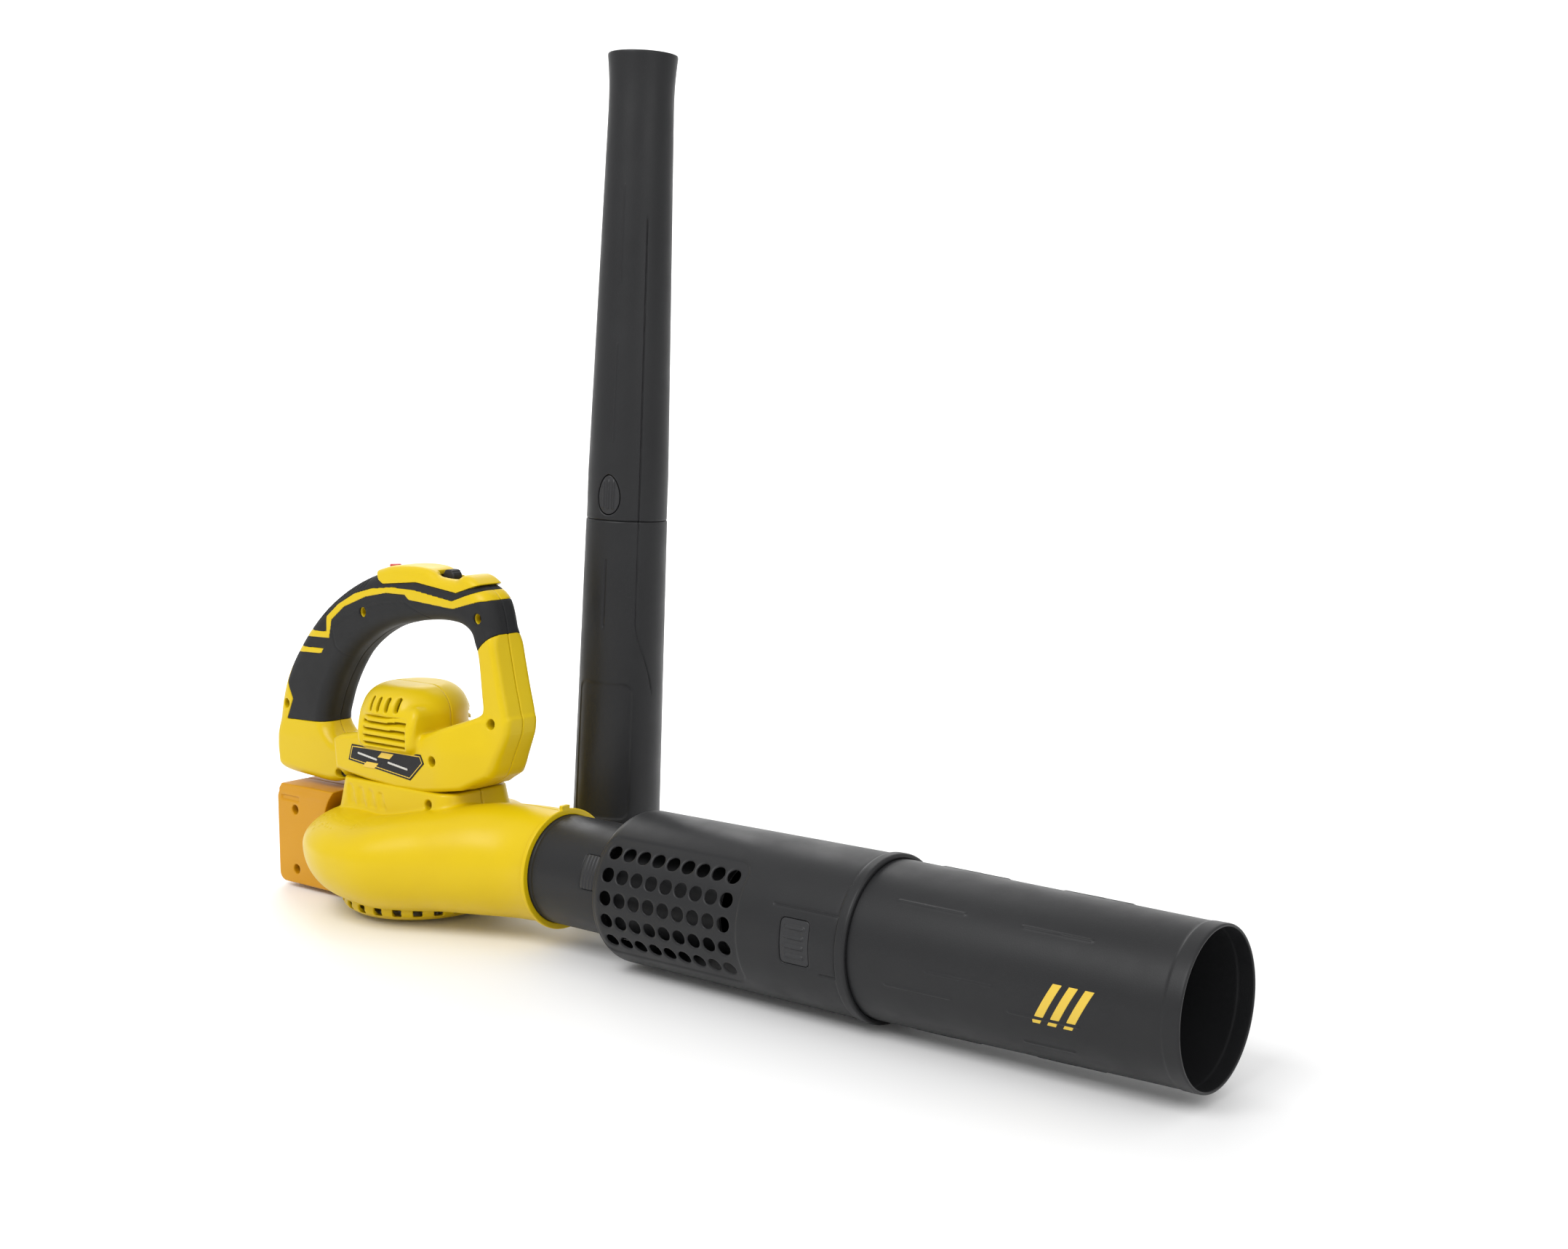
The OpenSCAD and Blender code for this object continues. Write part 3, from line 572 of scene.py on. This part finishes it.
def housing_outer(x, y, z):
    """Handle loop, foot, motor dome and louvred cheek in one skin."""
    f = loop_body(x, y, z)
    hwb = 37 - 17 * step01((x - 58) / 72) - 3 * step01((z - 150) / 30)
    blk = extrude(poly2(x, z, BLOCK), np.abs(y) - hwb, 5)
    f = smin(f, blk, 5)
    rr = length(x - DOME_X, y)
    dome = extrude(rr - 46.5, z - 203, 25)
    dome = np.maximum(dome, 150 - z)
    near = y < 0
    cheek = rbox(x, y, z, (np.where(near, 3, -4), 0, 168), (np.where(near, 37, 29), CHEEK_Y, 20), 9)
    cheek = smax(cheek, (z - 168) * 0.45 + (np.abs(y) - CHEEK_Y) * 0.9, 6)
    return smin(smin(dome, cheek, 3), f, 4)


def pod_outer(x, y, z):
    """The handle loop with the raised crest of the control pod."""
    crest = extrude(poly2(x, z, CREST), np.abs(y) - 17, 7)
    return smin(loop_body(x, y, z), crest, 3)


def stripe_zone(x, z):
    """Where the housing shows through the grip."""
    return np.minimum(poly2(x, z, STRIPE), poly2(x, z, BAR))


def louvres(f, f0, x, y, z, side):
    """A recessed panel with five horizontal fins, under four upright slots."""
    cheek = side * CHEEK_Y
    pan = rbox(x, y, z, (PANEL_X, cheek + side * 2, PANEL_Z), (30, 4.2, 16), 4)
    f = smax(f, -pan, 0.8)
    cut = rbox(x, y, z, (PANEL_X, side * 38, PANEL_Z), (27, 12, 14), 4)
    f = smax(f, -cut, 0.6)
    for i in range(FINS):
        zz = z - FIN_Z - FIN_PITCH * i + (y * side - 40) * FIN_LEAN
        fin = rrect(y * side - 39.5, zz, 5.2, 1.7, 1.0)
        fin = np.maximum(fin, f0 + 0.6)
        fin = np.maximum(np.maximum(fin, np.abs(x - PANEL_X) - 27.6), 148 - z)
        f = np.minimum(f, fin)
    for i in range(VENTS):
        vent = rbox(x, y, z, (VENT_X + VENT_PITCH * i, side * 36, 188), (1.8, 16, 6.2), 1.6)
        f = smax(f, -vent, 0.5)
    return f


def make_housing():
    step = (1.0, 1.0, 1.0)
    for side, name in ((-1, "left"), (1, "right")):
        y0, y1 = (-50, 2) if side < 0 else (-2, 50)
        lo = (-183, y0, 100)
        x, y, z = grid(lo, (136, y1, 308), step)
        f0 = housing_outer(x, y, z)
        zone = poly2(x, z, ZONE)
        pod = poly2(x, z, POD)
        loop = loop_body(x, y, z)
        f = np.maximum(f0, -(zone - TRIM_GAP))
        f = np.minimum(f, loop + SEAT_DEPTH)
        f = np.minimum(f, np.maximum(loop - 0.1, stripe_zone(x, z)))
        f = smax(f, -(f0 + HOUSING_DEPTH), 0.5)
        f = np.maximum(f, -(pod - TRIM_GAP) - 60 * (zone > 0))
        f = louvres(f, f0, x, y, z, side)
        for px, pz, py in SCREWS:
            boss = np.maximum(cyl_y(x, z, (px, pz), BOSS_R), np.where(zone < 0, f0 + 2.8, f0 + 0.2))
            f = np.minimum(f, boss)
            if side < 0:
                f = smax(f, -np.maximum(cyl_y(x, z, (px, pz), RECESS_R), y + (py - 2.5)), 0.8)
        f = half(f, y, side)
        build("housing_shell_" + name, f, lo, step, YELLOW, "tool", ["housing_" + name])


def make_grips():
    step = (0.9, 0.9, 0.9)
    for side, name in ((-1, "left"), (1, "right")):
        y0, y1 = (-22, 2) if side < 0 else (-2, 22)
        lo = (-166, y0, 154)
        x, y, z = grid(lo, (140, y1, 306), step)
        body = loop_body(x, y, z)
        feet = [(-128 + 6.2 * i, 244 + 3.1 * i) for i in range(14)]
        ribs = union(seg2(x, z, foot, (foot[0] + 8, foot[1] + 22)) for foot in feet)
        above = z - np.interp(x, [-130, -101, -100, -84, -61, -40], [243, 243, 256, 268, 279, 284])
        groove = soft(ribs - 0.55, 1.2) * soft(3 - above, 2) * soft(x + 43, 3)
        f = body + 1.5 * groove
        panel = union(seg2(x, z, a, b) for a, b in zip(PANEL_LINE[:-1], PANEL_LINE[1:]))
        f = f + 0.8 * soft(panel - 0.35, 0.9)
        f = np.maximum(f, -(body + SKIN_DEPTH))
        f = np.maximum(f, poly2(x, z, ZONE))
        f = np.maximum(f, -np.maximum(stripe_zone(x, z) - TRIM_GAP, 0))
        f = np.maximum(f, -(poly2(x, z, POD) - TRIM_GAP))
        f = np.maximum(f, -np.maximum(np.abs(x - 60) - 20, 297.2 - z))
        for px, pz, _ in SCREWS[:2]:
            f = smax(f, -cyl_y(x, z, (px, pz), RECESS_R), 0.9)
        f = half(f, y, side)
        build("grip_skin_" + name, f, lo, step, GRIP, "tool", ["grip_" + name])


SLIDER_X, BUTTON_X = 48, -26


def make_controls():
    step = (0.7, 0.7, 0.7)
    lo = (-42, -22, 282)
    x, y, z = grid(lo, (112, 22, 310), step)
    f0 = pod_outer(x, y, z)
    f = smax(f0, poly2(x, z, POD), 0.6)
    f = smax(f, -(f0 + 4), 0.4)
    scoop = extrude(poly2(x, z, NOTCH), np.abs(y) - 10.5, 2.5)
    f = smax(f, -scoop, 1.0)
    floor = np.maximum(np.maximum(np.abs(z - 296) - 1.2, np.abs(x - 58) - 19), np.abs(y) - 12)
    f = np.minimum(f, floor)
    f = np.maximum(f, -np.maximum(np.abs(x - 52) - 15, np.abs(y) - 7))
    f = smax(f, -np.maximum(length(x - BUTTON_X, y) - 5.6, 284 - z), 0.5)
    build("control_pod_body", f, lo, step, YELLOW, "tool", ["control_pod"])

    step = (0.4, 0.4, 0.4)
    lo = (38, -8, 279)
    x, y, z = grid(lo, (60, 8, 308), step)
    stem = rbox(x, y, z, (SLIDER_X, 0, 289), (5, 6, 8), 0.6)
    wheel = extrude(length(x - SLIDER_X, z - 299.5) - 6.8, np.abs(y) - 5.2, 1.2)
    wheel = np.maximum(wheel, z - 305.6)
    wheel = wheel + 0.4 * soft(np.abs(np.mod(x, 2.0) - 1.0) - 0.45, 0.5) * soft(303 - z, 1)
    f = smin(stem, np.maximum(wheel, 292 - z), 1.0)
    build("speed_slider_cap", f, lo, step, BLACK, "slider", ["speed_slider"])

    step = (0.35, 0.35, 0.35)
    lo = (-34, -8, 290)
    x, y, z = grid(lo, (-18, 8, 308), step)
    rr = length(x - BUTTON_X, y)
    f = extrude(rr - 5.0, np.abs(z - 299.7) - 6.6, 1.1)
    f = smax(f, -(length(x - BUTTON_X, y, z - 317.5) - 12.0), 0.6)
    f = smin(f, extrude(rr - 6.1, np.abs(z - 293) - 1.0, 0.4), 0.4)
    build("boost_button_cap", f, lo, step, RED, "button", ["boost_button"])


# The air path: a ring round the fan and a duct that leaves it on a tangent
RING_R, TUBE_R = 56.0, 47.0
BEND_MID, BEND_HALF = 145.0, 22.0
DUCT_A = math.asin(RING_R / BEND_MID)
BEND_X1 = BEND_MID + BEND_HALF
BEND_R = BEND_HALF / math.tan(DUCT_A / 2)
DUCT = [(RING_R * math.sin(DUCT_A), -RING_R * math.cos(DUCT_A))]
for k in range(6, -1, -1):
    turn = DUCT_A * k / 6
    DUCT.append((BEND_X1 - BEND_R * math.sin(turn), -BEND_R * (1 - math.cos(turn))))
DUCT.append((182.0, 0.0))
# Wall of the scroll, bore for the neck tube and where it starts, the seat of the dish and the outlet face
SCROLL_WALL, NECK_BORE_R, NECK_BORE_X = 3, 45.5, 150
DISH_SEAT_R, DISH_SEAT_Z = 70.3, 25.3
SCROLL_END_X = 176.7
# The screw recess on the pedestal
PEDESTAL_SCREW = (54, 106)


def scroll_outer(x, y, z):
    """Ring, duct and pedestal in one skin, lower over the fan than over the duct."""
    low = 28 + 20 * step01((x + 5) / 125)
    dz = np.where(z > AXIS_Z, (z - AXIS_Z) * TUBE_R / low, z - AXIS_Z)
    rho = length(x, y)
    ring = length(rho - RING_R, dz) - TUBE_R
    plate = np.maximum(rho - RING_R, np.maximum(z - 88, 23 - z))
    dxy = union(seg2(x, y, a, b) for a, b in zip(DUCT[:-1], DUCT[1:]))
    duct = length(dxy, dz) - (TUBE_R + 0.6 * step01((x - 20) / 100))
    f = smin(np.minimum(ring, plate), duct, 10)
    grow = np.clip((117 - z) / 37, 0, 1) * 5
    qx, qy = np.abs(x - 6) - 72 - grow + 16, np.abs(y) - 38 - grow + 16
    ped = smax(np.maximum(corner(qx, qy, 16), 70 - z), z - 116.8, 1.5)
    return smin(f, ped, 4)


def pedestal_pockets(x, z):
    """Four shallow slanted pockets in a row."""
    pockets = []
    for i in range(4):
        xa = -53 + 13.5 * i
        outline = [(xa, 113 - i), (xa + 7, 112 - i), (xa + 15, 94), (xa + 4, 94)]
        pockets.append(poly2(x, z, outline) + 0.8)
    return union(pockets)


def make_scroll():
    step = (1.5, 1.5, 1.5)
    for side, name in ((-1, "left"), (1, "right")):
        y0, y1 = (-106, 3) if side < 0 else (-3, 106)
        lo = (-106, y0, 12)
        x, y, z = grid(lo, (181, y1, 120), step)
        f0 = scroll_outer(x, y, z)
        f = smax(f0, -(f0 + SCROLL_WALL), 0.5)
        if side < 0:
            f = smax(f, -np.maximum(np.maximum(pedestal_pockets(x, z), y + 33), -(f0 + 1.0)), 0.5)
            f = np.minimum(f, np.maximum(np.maximum(cyl_y(x, z, PEDESTAL_SCREW, BOSS_R), f0 + 0.5), -y - 40))
            recess = np.maximum(np.maximum(cyl_y(x, z, PEDESTAL_SCREW, RECESS_R), y + 27.6), -y - 52)
            f = smax(f, -recess, 0.9)
        bore = np.maximum(length(y, z - AXIS_Z) - NECK_BORE_R, NECK_BORE_X - x)
        f = np.maximum(f, -bore)
        dish = np.maximum(length(x, y) - DISH_SEAT_R, z - DISH_SEAT_Z)
        f = np.maximum(f, -dish)
        f = np.maximum(f, x - SCROLL_END_X)
        f = half(f, y, side)
        build("scroll_shell_" + name, f, lo, step, YELLOW, "tool", ["scroll_" + name])


# The battery receptacle, the intake dish and the outlet flange
# Half the receptacle's width, centre of the battery slot, half its length, and the outline of the top wing
RECEPTACLE_HALF = 30
SLOT_X, SLOT_Z, SLOT_HALF = -146, 45.5, 21
WING = [(-163, 92), (-159, 97), (-84, 97), (-84, 86), (-163, 86)]


def make_receptacle():
    step = (0.9, 0.9, 0.9)
    for side, name in ((-1, "left"), (1, "right")):
        y0, y1 = (-31.5, 2) if side < 0 else (-2, 31.5)
        lo = (-168, y0, 2)
        x, y, z = grid(lo, (-83, y1, 99), step)
        body = rrect(x + 104, z - 48, 62, 44, 9)
        body = extrude(body, np.abs(y) - RECEPTACLE_HALF, 2.2)
        wing = extrude(poly2(x, z, WING), np.abs(y) - RECEPTACLE_HALF, 1.0)
        f = smin(body, wing, 0.8)
        f = smax(f, -extrude(rrect(x + 146.5, z - 84, 13, 2.4, 1.5), -(np.abs(y) - 28.8), 0.4), 0.5)
        slot = np.maximum(rrect(y, z - SLOT_Z, 23, 22.5, 2), np.abs(x - SLOT_X) - SLOT_HALF)
        f = smax(f, -slot, 0.8)
        rail = np.maximum(rrect(y, z - SLOT_Z, 27, 3.5, 0.8), np.abs(x - SLOT_X) - SLOT_HALF)
        f = smax(f, -rail, 0.5)
        ring = length(length(x, y) - RING_R, z - AXIS_Z) - TUBE_R - 0.3
        f = smax(f, -ring, 0.6)
        wall = np.maximum(np.maximum(np.abs(x + 124) - 3, np.abs(y) - 13), np.abs(z - SLOT_Z) - 15)
        f = np.maximum(f, -wall)
        if side < 0:
            for pz in (74, 18):
                f = smax(f, -np.maximum(cyl_y(x, z, (-140, pz), RECESS_R), y + 11.5), 0.9)
        f = half(f, y, side)
        build("receptacle_shell_" + name, f, lo, step, ORANGE, "tool", ["receptacle_" + name])


def upright(a, b, h):
    return np.stack([a, b, h], 1)


def dish_field(ph, z, r):
    prof = [(0, 0), (30, 0), (62, 5), (68, 9), (70, 12), (70, 24.7),
            (67.4, 24.7), (67.4, 13), (61, 7.6), (30, 2.6), (0, 2.6)]
    f = poly2(r, z, prof) - 0.15
    s = (np.mod(ph + math.radians(7.5), math.radians(15)) - math.radians(7.5)) * 69
    f = smax(f, -np.maximum(rrect(s, z - 12.5, 4.0, 3.6, 1.2), 58 - r), 0.4)
    t = (np.mod(ph + math.radians(15), math.radians(30)) - math.radians(15)) * 38
    return smax(f, -np.maximum(rrect(t, r - 38, 2.5, 9, 2.2), z - 12), 0.4)


def flange_field(ph, x, r):
    f = rrect(x - 179, r - 48, 2.0, 2.6, 0.9)
    tab = np.maximum(rrect(arc(ph, 90, 52), r - 51, 4.6, 2.9, 0.8), np.abs(x - 179) - 1.9)
    return smin(f, tab, 0.5)


make_housing()
make_grips()
make_controls()
make_scroll()
make_receptacle()


# ---------------------------------------------------------------- tubes, on grids of angle, length and radius
def on_air_axis(a, b, h):
    """Angle 0 faces the near side, and grows upwards."""
    return np.stack([h, -a, b + AXIS_Z], 1)


# Outer radii, and the latch pads: place along the tube and angle round it
SHELL_R, NECK_R, FRONT_R = 61.4, 45.4, 58.94
FRONT_X0, FRONT_X1 = 440, 770
WIDE_PAD, WIDE_PAD_DEG = 468, 3
NECK_PAD, NECK_PAD_DEG = 247, 21
SLIM_PAD, SLIM_PAD_DEG = 368, -76
LEAN, LEAN_DIR = math.radians(2.6), math.radians(VIEW_DEG)


def on_slim_axis(a, b, h):
    """The slim tube's own frame, with angle 0 along the lean."""
    x, z = a * math.cos(LEAN) + h * math.sin(LEAN), -a * math.sin(LEAN) + h * math.cos(LEAN)
    c, s = math.cos(LEAN_DIR), math.sin(LEAN_DIR)
    return np.stack([138 + x * c - b * s, 100 + x * s + b * c, z + 39 * math.sin(LEAN)], 1)


def both(ph):
    """Angle folded so that the far side mirrors the near side."""
    p = np.mod(ph + math.pi / 2, 2 * math.pi) - math.pi / 2
    return np.where(p > math.pi / 2, math.pi - p, p)


def shell_field(ph, x, r):
    R = SHELL_R
    side = both(ph)
    s = (side - math.radians(4)) * R
    panel = rrect(x - 341, s, 73, 51.4, 12)
    press = 0.8 * soft(panel, 2.0)
    out = corner(274 - x, r - (R - press - 12), 12)
    inn = corner(274 - x, r - (R - 12), 12)
    lip = rrect(x - 509.2, r - 60.4, 4.6, 2.5, 1.5)
    f = smin(np.maximum(out, x - 513.8), lip, 1.2)
    f = smax(f, -np.maximum(rrect(x - 503.6, r - 62.4, 0.9, 1.3, 0.5), 0), 0.4)
    f = np.maximum(f, -(inn + 2.4))
    f = np.maximum(f, 45.55 - r)
    i = np.clip(np.round((x - 281) / 15), 0, 8)
    j = np.clip(np.round(np.degrees(side - math.radians(4)) / 17.6), -2, 2)
    hole = length(x - 281 - 15 * i, s - np.radians(17.6) * j * R) - 5.7 - np.clip(r - 59.8, 0, 1.4)
    f = smax(f, -np.maximum(hole, 50 - r), 0.35)
    f = smax(f, -np.maximum(rrect(x - WIDE_PAD, arc(ph, WIDE_PAD_DEG, R), 13.3, 17.3, 4), 56 - r), 0.5)
    line = union([seg2(x, arc(ph, 26.5, R), (446, 0), (505, 0)),
                  seg2(arc(ph, 0, R), x, (-17, 505), (28.4, 505)),
                  seg2(x, arc(ph, -16, R), (490, 0), (505, 0))])
    return smax(f, -np.maximum(line - 0.55, 60.3 - r), 0.3)


def neck_field(ph, x, r):
    R = NECK_R - np.clip((x - 282) / 96, 0, 1) * 8.4
    f = np.maximum(np.maximum(r - R, R - 2.2 - r), np.maximum(151 - x, x - 378))
    for xa, w in ((184.5, 0.8), (190, 0.6)):
        f = smax(f, -(length(x - xa, r - 45.6) - w), 0.3)
    a = arc(ph, NECK_PAD_DEG, NECK_R)
    return smax(f, -np.maximum(rrect(x - NECK_PAD, a, 7.8, 14.3, 2.5), 40 - r), 0.4)


def front_taper(x):
    """How much the front tube has narrowed at x."""
    return 3.6 * np.clip((x - 518) / 239, 0, 1)


# Raised ribs on the front tube: start, end and angle
FRONT_RIBS = [(546, 600, 47 + 60 * k) for k in range(6)] + [(646, 698, 47 + 60 * k) for k in range(6)]
FRONT_RIBS += [(581, 633, 2.5), (581, 633, 182.5), (653, 690, -37)]


def front_field(ph, x, r):
    R = FRONT_R - front_taper(x) + 0.5 * soft(757.6 - x, 1.0)
    ribs = union(seg2(x, arc(ph, deg, 57), (xa, 0), (xb, 0)) for xa, xb, deg in FRONT_RIBS)
    R = R + 0.7 * soft(ribs - 0.9, 1.4)
    inner = np.where(x > 758, 53.5, 56.7 - front_taper(x))
    f = np.maximum(np.maximum((r - R) * 0.97, inner - r), np.maximum(FRONT_X0 - x, x - FRONT_X1))
    f = smax(f, -(length(x - 757, r - 55.9) - 0.55), 0.3)
    f = smax(f, (r - 55.84) * 0.7 + (x - FRONT_X1) * 0.7 + 0.5, 0.4)
    win = np.maximum(rrect(x - 465, arc(ph, WIDE_PAD_DEG, 59), 28, 23, 2), 50 - r)
    return np.maximum(f, -win)


def wide_latch_field(ph, x, r):
    s = arc(ph, WIDE_PAD_DEG, SHELL_R)
    ribs = union(seg2(x, s, (460.5, -10.5 + 7 * k), (475.5, -10.5 + 7 * k)) for k in range(4))
    R = 60.9 + 1.3 * soft(ribs - 1.2, 1.8)
    return smax(rrect(x - WIDE_PAD, s, 13, 17, 3.7), np.maximum(r - R, 59.2 - r), 0.6)


def neck_latch_field(ph, x, r):
    s = arc(ph, NECK_PAD_DEG, NECK_R)
    R = 45.7 + 0.4 * soft(np.abs(np.mod(x - 240.5, 3.4) - 1.7) - 0.6, 0.8)
    return smax(rrect(x - NECK_PAD, s, 7.5, 14, 2.3), np.maximum(r - R, 43.2 - r), 0.5)


def slim(ph, deg):
    """Arc length round the slim tube, from an angle in the tool's frame."""
    return arc(ph, deg - VIEW_DEG, 34)


def slim_lower_field(ph, h, r):
    R = 39 - 4.0 * np.clip((h - 12) / 334, 0, 1)
    g = np.clip((262 - h) / 70, 0, 1)
    edge = 17 * g * g * (3 - 2 * g)
    right = slim(ph, -30) - edge
    left = slim(ph, -140) + edge * 0.6
    cut = np.minimum(np.abs(right), np.abs(left))
    R = R - soft(cut - 0.5, 1.0) * np.clip((h - 196) / 6, 0, 1)
    R = R - 0.7 * soft(rrect(h - 147, slim(ph, -74), 59, 25, 8), 1.6)
    R = R - 0.9 * soft(seg2(h, slim(ph, SLIM_PAD_DEG), (255, 0), (312, 0)) - 0.7, 1.0)
    R = R + 0.4 * soft(h - 10, 1.0)
    spig = np.maximum(np.abs(r - 31.24) - 1.1, np.maximum(330 - h, h - 400))
    win = np.maximum(rrect(h - 378, slim(ph, SLIM_PAD_DEG), 30, 14, 2), 20 - r)
    spig = np.maximum(spig, -win)
    body = np.maximum(np.maximum(r - R, R - 2.3 - r - 0.1), np.maximum(-h, h - 345.8))
    return np.minimum(body, spig)


def slim_upper_field(ph, h, r):
    R = 34.6 - 7.4 * np.clip((h - 386) / 328, 0, 1)
    t = np.clip((h - 690) / 48, 0, 1)
    R = R + 2.6 * t * t
    end = np.clip((604 - h) / 6, 0, 1)
    R = R - 1.1 * soft(np.abs(slim(ph, -30)) - 0.55, 0.9) * end * np.clip((h - 340) / 4, 0, 1)
    R = R - 0.8 * soft(np.abs(slim(ph, -140)) - 0.5, 0.9) * end
    for a, b, off in ((548, 628, -70.3), (413, 496, -71.5)):
        R = R + 0.6 * soft(seg2(h, slim(ph, off), (a, 0), (b, 0)) - 0.45, 0.9)
    f = np.maximum(np.maximum(r - R, R - 2.2 - r), np.maximum(346.3 - h, h - 738))
    f = smax(f, (r - R) * 0.7 + (h - 738) * 0.7 + 0.4, 0.4)
    s = slim(ph, SLIM_PAD_DEG)
    egg = length((h - SLIM_PAD) / 17.2, s / (10.8 - 0.10 * (h - SLIM_PAD))) - 1
    return smax(f, -np.maximum(egg * 10, 20 - r), 0.4)


def slim_latch_field(ph, h, r):
    s = slim(ph, SLIM_PAD_DEG)
    egg = (length((h - SLIM_PAD) / 16.6, s / (10.2 - 0.10 * (h - SLIM_PAD))) - 1) * 10
    ribs = np.minimum(np.minimum(np.abs(s), np.abs(s - 4.6)), np.abs(s + 4.6))
    R = 34.0 + 1.2 * soft(ribs - 0.8, 1.2) * soft(np.abs(h - SLIM_PAD) - 12, 3)
    return smax(egg, np.maximum(r - R, 32.5 - r), 0.6)


polar("venturi_shell_body", shell_field, (262, 514), (45, 63), 400, 1.05, 0.62,
      on_air_axis, TUBE, "wide_tube", ["venturi_shell"])
polar("neck_tube_body", neck_field, (151, 378), (34, 46), 300, 1.3, 0.6,
      on_air_axis, TUBE, "wide_tube", ["neck_tube"])
polar("front_tube_body", front_field, (FRONT_X0, FRONT_X1), (52, 60), 400, 1.1, 0.5,
      on_air_axis, TUBE, "front_tube", ["front_tube"])
polar("wide_latch_pad", wide_latch_field, (454, 482), (59, 63), 800, 0.5, 0.35,
      on_air_axis, LATCH, "wide_latch", ["wide_latch"])
polar("neck_latch_pad", neck_latch_field, (239, 255), (43, 46.4), 600, 0.45, 0.35,
      on_air_axis, LATCH, "neck_latch", ["neck_latch"])
polar("slim_lower_body", slim_lower_field, (0, 400), (29, 39.6), 360, 1.3, 0.55,
      on_slim_axis, TUBE, "narrow_lower", ["narrow_lower"])
polar("slim_upper_body", slim_upper_field, (346, 738), (24, 35.6), 360, 1.2, 0.55,
      on_slim_axis, TUBE, "narrow_upper", ["narrow_upper"])
polar("slim_latch_pad", slim_latch_field, (350, 386), (32, 36), 500, 0.5, 0.35,
      on_slim_axis, LATCH, "narrow_latch", ["narrow_latch"])
polar("intake_dish_body", dish_field, (0, 25), (0.6, 70), 480, 0.6, 0.6,
      upright, YELLOW, "tool", ["intake_dish"])
polar("outlet_flange_ring", flange_field, (177, 181), (45, 54), 480, 0.45, 0.45,
      on_air_axis, YELLOW, "tool", ["outlet_flange"])


# ---------------------------------------------------------------- side plates and a motif on the tube
# Middle of the sampled slab, of the plate and of the printed face, and the side view of the plate
LABEL_Y, PLATE_Y, FACE_Y = 37.4, 37.2, 37.5
LABEL_EDGE = [(-47, 147.6), (44, 148.6), (48, 141), (30, 124.4), (-52, 133)]


def make_label():
    """Dark plates with a thin border, two slanted bars and two plain dashes, with nothing written on them."""
    step = (0.4, 0.12, 0.4)
    for side in (-1, 1):
        tag = "left" if side < 0 else "right"
        lo = (-54, side * LABEL_Y - 0.9, 123)
        x, y, z = grid(lo, (50, side * LABEL_Y + 0.9, 150), step)
        d = poly2(x, z, LABEL_EDGE)
        f = extrude(d, np.abs(y - side * PLATE_Y) - 0.30, 0.15)
        stand_for = ["label_plates"] if side < 0 else None
        build("label_plate_" + tag, f, lo, step, LABEL, "tool", stand_for)
        face = np.abs(y - side * FACE_Y) - 0.12
        mark = np.abs(d + 1.9) - 0.45
        for c in ((-1.5, 142.2), (-22, 131.6)):
            slant = np.abs((x - c[0]) - 1.15 * (z - c[1])) - 8
            mark = np.minimum(mark, np.maximum(slant * 0.65, np.abs(z - c[1]) - 2.6))
        build("label_marks_" + tag, extrude(mark, face, 0.05), lo, step, MARK, "tool", None)
        dash = np.minimum(seg2(x, z, (-38, 140.6), (-14, 137.4)), seg2(x, z, (2, 136.6), (26, 133.6))) - 1.0
        build("label_dashes_" + tag, extrude(dash, face, 0.05), lo, step, PALE, "tool", None)


def motif_field(ph, x, r):
    """Three slanted bars that lie on the front tube."""
    R = FRONT_R - front_taper(x)
    s = arc(ph, -2, 57)
    bars = union(np.maximum(np.abs((x - 694) - 0.55 * s - c) - 3.4, np.abs(s) - 15) for c in (-20, -8, 4))
    return extrude(bars, np.abs(r - R - 0.02) - 0.16, 0.05)


make_label()
polar("tube_motif", motif_field, (664, 716), (55.4, 57.3), 900, 0.5, 0.12,
      on_air_axis, MARK, "front_tube", None)

import json
